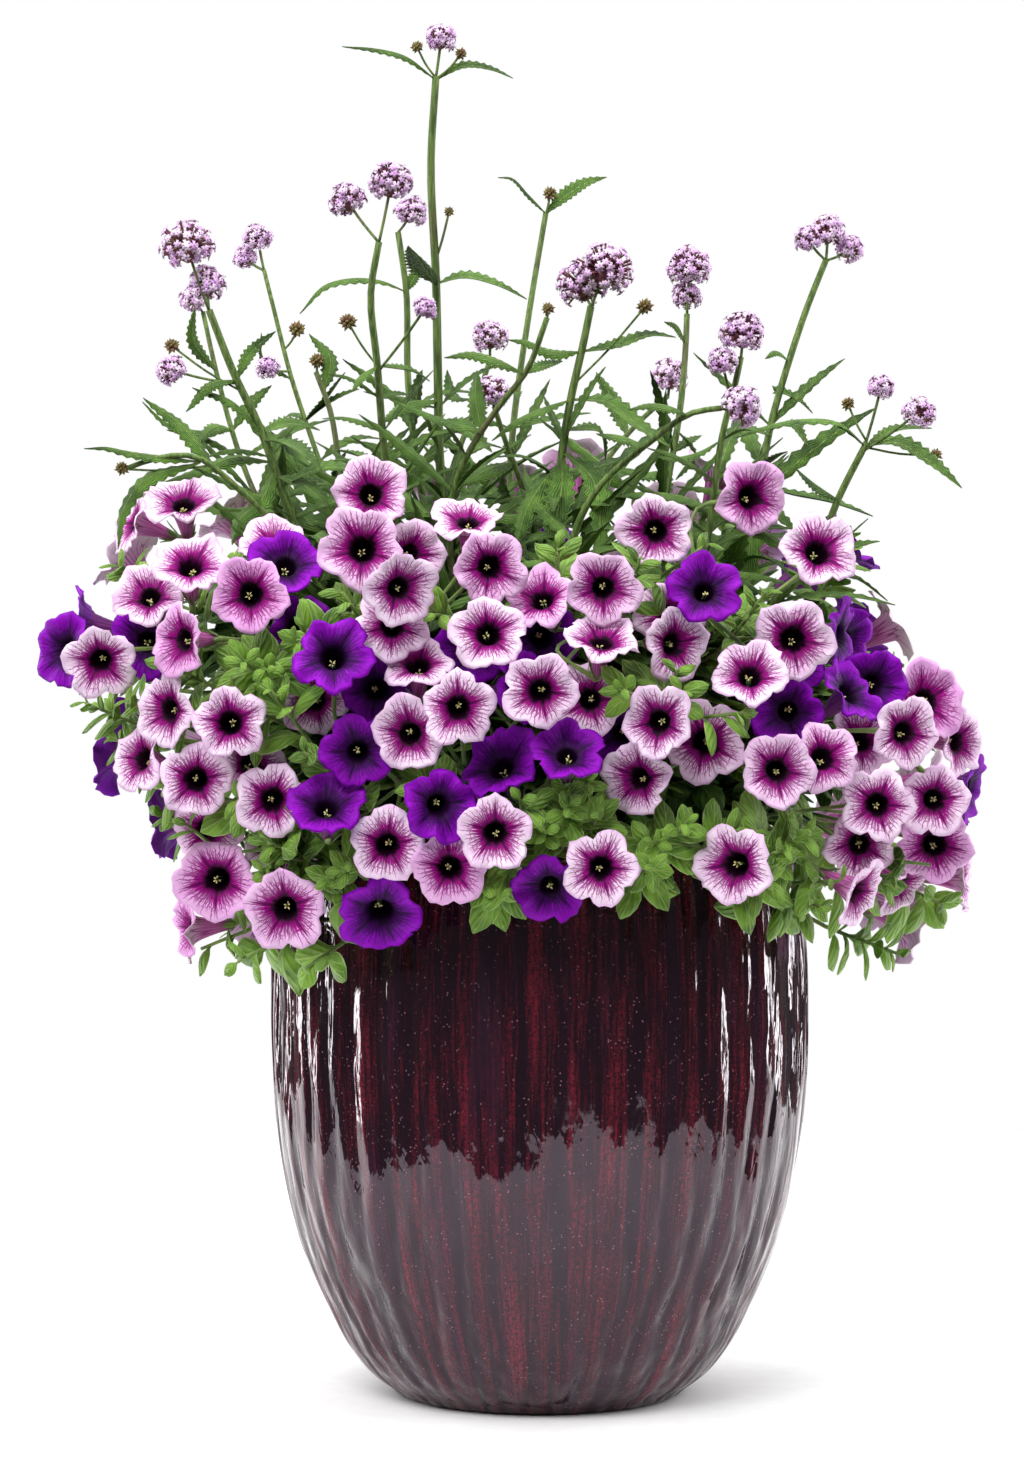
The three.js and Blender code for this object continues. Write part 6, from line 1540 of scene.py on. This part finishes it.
# %% Verbena leaves as measured
# A leaf: the stem, the row where it begins, its tip's depth from there, half its width, and its pixels.
LONG_LEAVES = [
    [0, 80, -14, 3.4, [[405, 57], [372, 49], [342, 47]]],
    [0, 80, 14, 3.4, [[465, 66], [490, 69], [513, 78]]], [0, 284, -48, 9, [[422, 264], [408, 246]]],
    [0, 284, 16, 5, [[462, 277], [492, 283], [527, 299]]],
    [1, 366, 12, 4, [[395, 368], [412, 371], [430, 381]]], [1, 366, -20, 4, [[362, 376], [352, 392]]],
    [2, 292, -20, 5, [[380, 281], [352, 279], [325, 286], [300, 314]]],
    [2, 292, 12, 3.5, [[415, 276], [420, 264]]], [3, 432, -24, 6.5, [[445, 420], [415, 409], [392, 400]]],
    [3, 432, 14, 5, [[476, 400], [477, 370]]], [3, 374, -16, 5, [[500, 362], [470, 354], [444, 358]]],
    [3, 374, 14, 4, [[545, 366], [563, 361]]], [4, 400, -22, 5.5, [[545, 408], [512, 424], [492, 441]]],
    [4, 400, -34, 6.5, [[605, 402], [640, 427], [671, 448]]],
    [4, 352, 16, 5, [[620, 345], [650, 335], [676, 337]]],
    [4, 352, -16, 5, [[550, 352], [526, 342], [508, 340]]], [4, 430, 20, 5, [[600, 432], [606, 460]]],
    [5, 214, -12, 4, [[528, 195], [510, 178], [498, 178]]],
    [5, 214, 14, 5, [[565, 197], [585, 184], [607, 177]]],
    [6, 416, -18, 4.5, [[672, 408], [650, 405], [628, 410]]],
    [7, 344, -10, 3.6, [[676, 326], [664, 322]]], [7, 430, 16, 5, [[692, 452], [676, 480]]],
    [8, 440, -16, 5, [[745, 430], [772, 436]]], [8, 440, 14, 5, [[700, 452], [676, 458], [655, 456]]],
    [9, 362, -12, 3.4, [[777, 352], [765, 359]]], [9, 396, 14, 4, [[775, 391], [795, 398], [813, 413]]],
    [9, 430, -20, 5, [[790, 424], [808, 446]]],
    [10, 446, -34, 6.5, [[838, 423], [800, 420], [765, 427], [736, 438]]],
    [10, 446, -14, 6.5, [[896, 443], [930, 462], [962, 488]]], [10, 446, 18, 4, [[895, 430], [932, 428]]],
    [11, 380, 14, 4, [[252, 352], [276, 331]]], [11, 380, -20, 4.5, [[212, 384], [186, 412]]],
    [11, 432, -18, 6, [[232, 402], [192, 388]]], [11, 432, 20, 5.5, [[292, 424], [320, 430]]],
    [11, 440, -38, 7, [[292, 446], [322, 470]]], [12, 372, -14, 3.6, [[193, 340], [195, 306]]],
    [14, 462, -12, 4.2, [[125, 452], [106, 448], [84, 449]]], [14, 474, 16, 5, [[180, 425], [143, 398]]],
    [13, 380, -16, 4.2, [[262, 356], [261, 333]]], [17, 392, 18, 5, [[330, 358], [309, 334]]],
    [15, 400, 22, 5, [[455, 396], [447, 370]]], [16, 436, 20, 5, [[618, 410], [596, 372]]],
    [4, 462, -34, 8, [[545, 480], [528, 508], [516, 545]]],
    [4, 456, -40, 8, [[562, 485], [556, 520], [552, 562]]],
    [4, 452, -38, 7.5, [[592, 478], [600, 515], [596, 566]]],
    [9, 484, -30, 7, [[752, 530], [744, 585], [738, 640]]],
    [0, 450, -30, 7, [[412, 470], [396, 498], [386, 530]]],
    [11, 470, -30, 6.5, [[262, 500], [240, 520], [232, 545]]],
    [9, 484, -16, 6, [[790, 494], [830, 502], [873, 516]]],
    [8, 496, -20, 6, [[740, 500], [775, 515], [800, 535]]], [9, 462, 14, 5, [[735, 468], [705, 482]]],
    [10, 500, -14, 5.5, [[815, 485], [795, 468]]], [7, 470, -24, 6, [[645, 474], [612, 468]]],
    [6, 446, -24, 6, [[625, 438], [596, 434]]], [11, 462, -20, 6, [[235, 458], [200, 470], [165, 482]]],
    [14, 462, -10, 5, [[140, 485], [122, 515], [118, 550]]],
    [12, 430, -14, 5, [[205, 432], [170, 425], [142, 402]]],
    [13, 420, -22, 5.5, [[322, 404], [345, 372]]], [17, 450, -26, 6, [[358, 456], [386, 474]]],
    [11, 476, -26, 6.5, [[305, 486], [330, 508]]], [18, 462, -30, 6, [[488, 470], [462, 486]]],
    [15, 450, -26, 6, [[430, 440], [408, 446]]], [0, 420, -30, 6.5, [[462, 428], [492, 452]]],
    [0, 400, -30, 6.5, [[408, 404], [380, 424]]],
]
print("large leaves", len(LONG_LEAVES))

# %% [markdown]
# A stem's path runs from its crown through its pixels, and its depth grows with its height. Where a stem
# leaves the middle of the petunias it is kept inside the gap that they leave.

# %% Stem paths
GATE_Z = 0.53


def stem_path(row, index):
    """The path of a stem, from its place on the crown to its top."""
    crown, depth, _, pixels = row
    turn = index * GOLDEN
    foot = np.array(CROWNS[crown]) * MM + np.array([8 * math.cos(turn), 8 * math.sin(turn), 8]) * MM
    depth = depth * MM
    high = seen(0, pixels[-1][1], depth)[2]
    points = []
    for px, py in pixels:
        share = (seen(px, py, 0)[2] - foot[2]) / (high - foot[2])
        points.append(seen(px, py, foot[1] + (depth - foot[1]) * share ** 1.15))
    path = [foot] + points
    above = next(k for k, p in enumerate(path) if p[2] > GATE_Z)
    low, up = path[above - 1], path[above]
    gate = low + (up - low) * (GATE_Z - low[2]) / (up[2] - low[2])
    reach = bush_reach(BUSH_IN, math.atan2(gate[1], gate[0]), 0.522) - 0.008
    wide = math.hypot(gate[0], gate[1])
    if wide < reach - 0.01:
        return np.array(path)
    narrow = min(reach / wide, 1)
    return np.array([foot, [gate[0] * narrow, gate[1] * narrow, GATE_Z]] + path[above:])


stems = []
for k, row in enumerate(STEMS):
    stems.append({"crown": row[0], "r": row[2] / 2 * MM, "path": stem_path(row, k)})


def at_row(path, py):
    """The point of a stem at a pixel row."""
    for k in range(1, len(path)):
        high = seen(0, py, path[k][1])[2]
        if high <= path[k][2] or k == len(path) - 1:
            share = np.clip((high - path[k - 1][2]) / (path[k][2] - path[k - 1][2]), 0, 1)
            return path[k - 1] + (path[k] - path[k - 1]) * share


print("tallest stem ends at", np.round(max(s["path"][-1][2] for s in stems), 3))

# %% [markdown]
# ## Verbena finishes
# The square stem is rough with short hairs and streaked along its length. A head is a tight ball of tiny
# lavender flowers, each on a reddish tube, and older and younger flowers differ in tone.

# %% Verbena finishes
bench = Bench("square_stem")
spot = bench.place()
streaks = bench.noise(bench.stretched(spot, 0.12), 420, 3, 0.6)
tinge = bench.noise(spot, 14, 2)
colour = bench.mix(bench.step(streaks, 0.35, 0.65), paint(70, 96, 44), paint(116, 140, 72))
colour = bench.mix(bench.step(tinge, 0.5, 0.72, 0.0, 0.5), colour, paint(96, 74, 66))
stem_green = bench.done(colour, 0.65, bench.bump(streaks, 0.5, 0.0006), IOR=1.35)


def floret_finish(name, deep, pale, heart):
    """A floret whose heart is darker. Each floret has its own tone."""
    bench = Bench(name)
    outward, _, seed = bench.painted()
    own = bench.noise(bench.joined(seed, bench.times(seed, 2.7), 0.1), 30, 1)
    colour = bench.mix(bench.step(own, 0.35, 0.65), deep, pale)
    colour = bench.mix(bench.step(outward, 0.3, 0.05), colour, heart)
    spot = bench.place()
    colour = bench.mix(bench.step(bench.noise(spot, 300, 2), 0.4, 0.7, 0.0, 0.3), colour, pale)
    return bench.done(colour, 0.6, bench.bump(bench.noise(spot, 1400, 2), 0.2, 0.0003), IOR=1.25)


lavender = floret_finish("lavender_floret", paint(230, 180, 238), paint(253, 230, 253), paint(168, 84, 178))
bench = Bench("reddish_calyx")
spot = bench.place()
patch = bench.noise(spot, 240, 2)
colour = bench.mix(bench.step(patch, 0.35, 0.65), paint(104, 42, 76), paint(132, 82, 72))
colour = bench.mix(bench.step(bench.noise(spot, 90, 2), 0.5, 0.68, 0.0, 0.6), colour, paint(112, 116, 58))
calyx_red = bench.done(colour, 0.7, bench.bump(patch, 0.4, 0.0004))
bench = Bench("bud_scale")
spot = bench.place()
patch = bench.noise(spot, 320, 2)
colour = bench.mix(bench.step(patch, 0.35, 0.65), paint(96, 84, 44), paint(142, 126, 70))
colour = bench.mix(bench.step(bench.noise(spot, 130, 2), 0.5, 0.65, 0.0, 0.55), colour, paint(122, 60, 72))
bud_brown = bench.done(colour, 0.75, bench.bump(patch, 0.4, 0.0004))
print("verbena finishes mixed")

# %% [markdown]
# The leaves are long, narrow and toothed. A row of points across every tooth's tip and every notch makes
# the teeth, the middle sinks into a groove along the rib, and the whole leaf bends along its path. Only the
# large leaves were measured. At the lower joints of each stem more are drawn in pairs, with one pair across
# the next, as verbena has them, and those with no room are left off.

# %% Verbena leaves
STALK, LEAF, SCALE = 0, 1, 2
LANCE = np.array([
    [0, 0.16], [0.08, 0.3], [0.2, 0.72], [0.35, 1.0], [0.5, 0.98], [0.65, 0.82], [0.8, 0.56],
    [0.92, 0.28], [1.0, 0.02],
])


def lance_leaf(pile, path, half, drawn, rows=25, columns=5):
    """A toothed leaf along a path, turned to the light and a little forward."""
    t = np.linspace(0, 1, rows)
    halves = half * 1.2 * np.interp(t, LANCE[:, 0], LANCE[:, 1])
    teeth = np.where(np.arange(rows) % 2, 0.24, -0.15) * np.interp(t, [0, 0.15, 0.9, 1], [0, 1, 1, 0])
    line = eased(path, rows)
    way = unit(line[-1] - line[0])
    side = unit(np.cross(way, (0.2 * drawn.normal(), -0.55 + 0.25 * drawn.normal(), 0.9)))
    side = side if side @ np.array([0.15, 0.8, 0.6]) > 0 else -side
    points, faces_, numbers = blade(line, halves, side, 0.32, 0.0006, columns, teeth)
    seeds = np.full((len(numbers), 1), drawn.uniform())
    pile.add(points, faces_, np.concatenate([numbers, seeds], axis=1), LEAF)


def leaf_pairs(pile, stem, index, drawn):
    """Pairs of leaves at the lower joints of a stem, each pair across the one below."""
    made, z, turn = 0, 0.47 + 0.02 * drawn.uniform(), index * 0.9
    path = eased(stem["path"], 60)
    while z < min(path[-1][2] - 0.08, 0.7):
        base = path[np.argmin(np.abs(path[:, 2] - z))]
        for half in (0, math.pi):
            a = turn + half + drawn.normal(0, 0.25)
            out = np.array([math.cos(a), 0.8 * math.sin(a), 0])
            long = drawn.uniform(0.055, 0.1) * (1 - 5 * max(z - 0.6, 0))
            rise, droop = drawn.uniform(0.25, 1.15), drawn.uniform(0.0, 0.6)
            line = []
            for t in (0, 0.3, 0.65, 1):
                line.append(base + out * long * t + np.array([0, 0, long * (rise * t - droop * t * t)]))
            if free(np.array(line[1:]), 0.006, 0.003) and abs(line[-1][0] + 0.015) < 0.27:
                lance_leaf(pile, line, long * drawn.uniform(0.045, 0.075), drawn, 19, 3)
                made += 1
        z += drawn.uniform(0.012, 0.019) if z < 0.62 else drawn.uniform(0.02, 0.03)
        turn += math.pi / 2
    return made


print("rows across a leaf's outline", len(LANCE))

# %% [markdown]
# A bud is a small knob of scales on a short stalk. The scales are stubby rods that point outward, spread
# over the ball by the golden angle.

# %% Buds
SCALES = 26


def bud(pile, base, centre, r, drawn):
    """A knob of scales on a stalk."""
    add_rod(pile, eased([base, (base + centre) / 2 + [0, 0, -0.002], centre], 7), 0.0009, 6, STALK)
    for k in range(SCALES):
        z = 1 - 2 * (k + 0.5) / SCALES
        a, s = GOLDEN * k, math.sqrt(1 - z * z)
        way = unit(np.array([s * math.cos(a), s * math.sin(a), z + 0.25]))
        long = r * drawn.uniform(0.85, 1.08)
        path = centre + np.outer([0.1 * r, 0.62 * long, long], way)
        add_rod(pile, path, [0.17 * r, 0.21 * r, 0.03 * r], 5, SCALE)


print("scales on a bud", SCALES)

# %% [markdown]
# Now each verbena is put together: its stems and the woody crown they rise from, the measured leaves, the
# drawn ones and the buds.

# %% Verbena plants
CROWN_RADII = np.array([4, 6, 8, 10, 12, 12.5, 12, 9, 3]) * MM
verbenas = {k: Pile() for k in CROWNS}
for stem in stems:
    stem["pile"] = verbenas[stem["crown"]]
    add_rod(stem["pile"], eased(stem["path"], 40), stem["r"] * np.linspace(1.5, 0.95, 40), 8, STALK, 1.0)
for crown, pile in verbenas.items():
    middle = np.array(CROWNS[crown]) * MM
    add_rod(pile, eased([middle + [0, 0, z] for z in (-0.03, 0.004, 0.016)], 9), CROWN_RADII, 14, STALK)
drawn = np.random.default_rng(47)
for index, row, deep, half, pixels in LONG_LEAVES:
    base = at_row(stems[index]["path"], row)
    path = [base]
    for k, (px, py) in enumerate(pixels):
        path.append(seen(px, py, base[1] + deep * MM * (k + 1) / len(pixels)))
    if len(path) == 2:
        path.insert(1, (path[0] + path[1]) / 2 + np.array([0, 0, 0.002]))
    lance_leaf(stems[index]["pile"], path, half * MM, drawn)
drawn_pairs = np.random.default_rng(53)
more = sum(leaf_pairs(stem["pile"], stem, k, drawn_pairs) for k, stem in enumerate(stems))
for index, row, (px, py, wide) in BUDS:
    base = at_row(stems[index]["path"], row)
    bud(stems[index]["pile"], base, seen(px, py, base[1]), wide * PIXEL / 2, drawn)
print("measured leaves", len(LONG_LEAVES), "more leaves", more, "buds", len(BUDS))

# %% [markdown]
# The three piles become the pieces.

# %% Verbena pieces
for crown, pile in verbenas.items():
    name = "verbena_plant_" + str(crown)
    piece = pile.piece("stems_of_" + name, [stem_green, verbena_green, bud_brown])
    triangles += dressed(piece, name)
print("triangles so far", triangles)

# %% [markdown]
# ## The heads
# A head is a domed cluster of flowers 5 mm across. Each is a thin reddish tube that opens into five small
# notched lobes. A star of twenty points round a middle makes one, since it's smaller than a grain of rice.
# They're set on the ball by the golden angle, a little out of order, from the top down to where the stalk
# comes in.

# %% A floret
PETALS, CALYX, GREEN_STALK = 0, 1, 2
LOBE_REACH, LOBE_TURN = [0.36, 0.92, 0.84, 1.0], [-0.5, -0.24, 0.02, 0.27]
ASKEW = (0.31, 0.2, 0.93)


def floret(pile, centre, way, r, inside, drawn):
    """A reddish tube that opens into five small notched lobes."""
    u = unit(np.cross(way, ASKEW))
    v = np.cross(way, u)
    add_rod(pile, [inside, centre], [0.0009, 0.0007], 4, CALYX)
    spin, seed = drawn.uniform(0, TAU), drawn.uniform()
    share = np.tile(LOBE_REACH, 5)
    turn = spin + TAU / 5 * (np.repeat(np.arange(5), 4) + np.tile(LOBE_TURN, 5))
    lift = r * (0.32 * share - 0.36 * share ** 2)
    rim = centre + np.outer(r * share * np.cos(turn), u) + np.outer(r * share * np.sin(turn), v)
    rim = rim + np.outer(lift, way)
    points = np.concatenate([rim, [centre + way * 0.0001, centre - way * 0.0006]])
    rim_size = len(rim)
    k = np.arange(rim_size)
    over = np.stack([k, (k + 1) % rim_size, 0 * k + rim_size], axis=-1)
    under = np.stack([(k + 1) % rim_size, k, 0 * k + rim_size + 1], axis=-1)
    outward = np.append(share, [0, 0])
    numbers = np.stack([outward, 0 * outward, np.full_like(outward, seed)], axis=-1)
    pile.add(points, [over, under], numbers, PETALS)


print("points on a floret's rim", 5 * len(LOBE_REACH))

# %% [markdown]
# Under the florets a reddish core fills the ball, so that no light shows through it.

# %% A head
# A ball has so many florets that the golden angle is needed in full.
GOLDEN_IN_FULL = 2.39996


def florets_on(r):
    """How many florets cover a ball."""
    return int(17 + 70 * (r / 0.018) ** 2)


def head(pile, start, centre, r, drawn):
    """A head of florets on its own stalk."""
    way = unit(centre - start)
    middle = start + way * 0.6 * np.linalg.norm(centre - start) + [0, 0, -0.001]
    add_rod(pile, eased([start, middle, centre - way * 0.3 * r], 7), 0.0010, 6, GREEN_STALK)
    up = unit(way + np.array([0, -0.15, 0.9]))
    add_bead(pile, centre - up * 0.12 * r, up, 0.42 * r, 0.5 * r, 9, CALYX)
    u = unit(np.cross(up, ASKEW))
    v = np.cross(up, u)
    count = florets_on(r)
    for k in range(count):
        z = 1 - 1.62 * (k + 0.5) / count
        a = GOLDEN_IN_FULL * k + drawn.normal(0, 0.12)
        s = math.sqrt(max(1 - z * z, 0))
        out = unit(u * s * math.cos(a) + v * s * math.sin(a) + up * z + drawn.normal(0, 0.07, 3))
        reach = r * drawn.uniform(0.78, 1.1) * (0.92 if z < -0.2 else 1.0)
        facing = unit(out + drawn.normal(0, 0.12, 3))
        size = drawn.uniform(0.0032, 0.0040)
        floret(pile, centre + out * reach, facing, size, centre + out * 0.3 * r, drawn)


widest = max(wide for _, balls in HEADS for _, _, wide in balls)
print("florets on the largest ball", florets_on(widest * PIXEL / 2))

# %% [markdown]
# The frame may have moved a head in depth, by one of a few steps, to give it room. So its depth is read from
# the frame's own solid: the step that brings the balls nearest to the middle of the solid's box. A side head
# lies at the end of the box that is further from its stem.

# %% Verbena heads
SHIFTS = np.array([0, 5, -5, 9, -9, 14, -14, 20, -20, 28, -28, 36, -36]) * MM
BALL_APART = 0.009


def head_piece(number, pile):
    """Makes a head's pile into its piece, and says how many triangles it has."""
    name = "verbena_heads_" + str(number).zfill(2)
    piece = pile.piece("florets_of_" + name, [lavender, calyx_red, stem_green])
    return dressed(piece, name)


def depth_of(number):
    """The front and the back of a head's solid."""
    low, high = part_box("verbena_heads_" + str(number).zfill(2))
    return low[1], high[1]


drawn = np.random.default_rng(62)
number = 0
for index, balls in HEADS:
    number += 1
    end = stems[index]["path"][-1]
    ys = [end[1] + (0 if k == 0 else BALL_APART if k % 2 else -BALL_APART) for k in range(len(balls))]
    radii = [wide * PIXEL / 2 for _, _, wide in balls]
    low, high = min(y - r for y, r in zip(ys, radii)), max(y + r for y, r in zip(ys, radii))
    off = (sum(depth_of(number)) - (low + high)) / 2
    shift = min(SHIFTS, key=lambda step: abs(step - off))
    pile = Pile()
    for (px, py, _), y, r in zip(balls, ys, radii):
        head(pile, end - np.array([0, 0, 0.0005]), seen(px, py, y + shift), r, drawn)
    triangles += head_piece(number, pile)
for index, row, (px, py, wide) in SIDE_HEADS:
    number += 1
    base = at_row(stems[index]["path"], row)
    front, back = depth_of(number)
    r = wide * PIXEL / 2
    y = (front + back) / 2
    if back - front > 2.4 * r:
        y = max((front + r * 0.9, back - r * 0.9), key=lambda place: abs(place - base[1]))
    pile = Pile()
    head(pile, base, seen(px, py, y), r, drawn)
    triangles += head_piece(number, pile)
print("triangles in all", triangles)
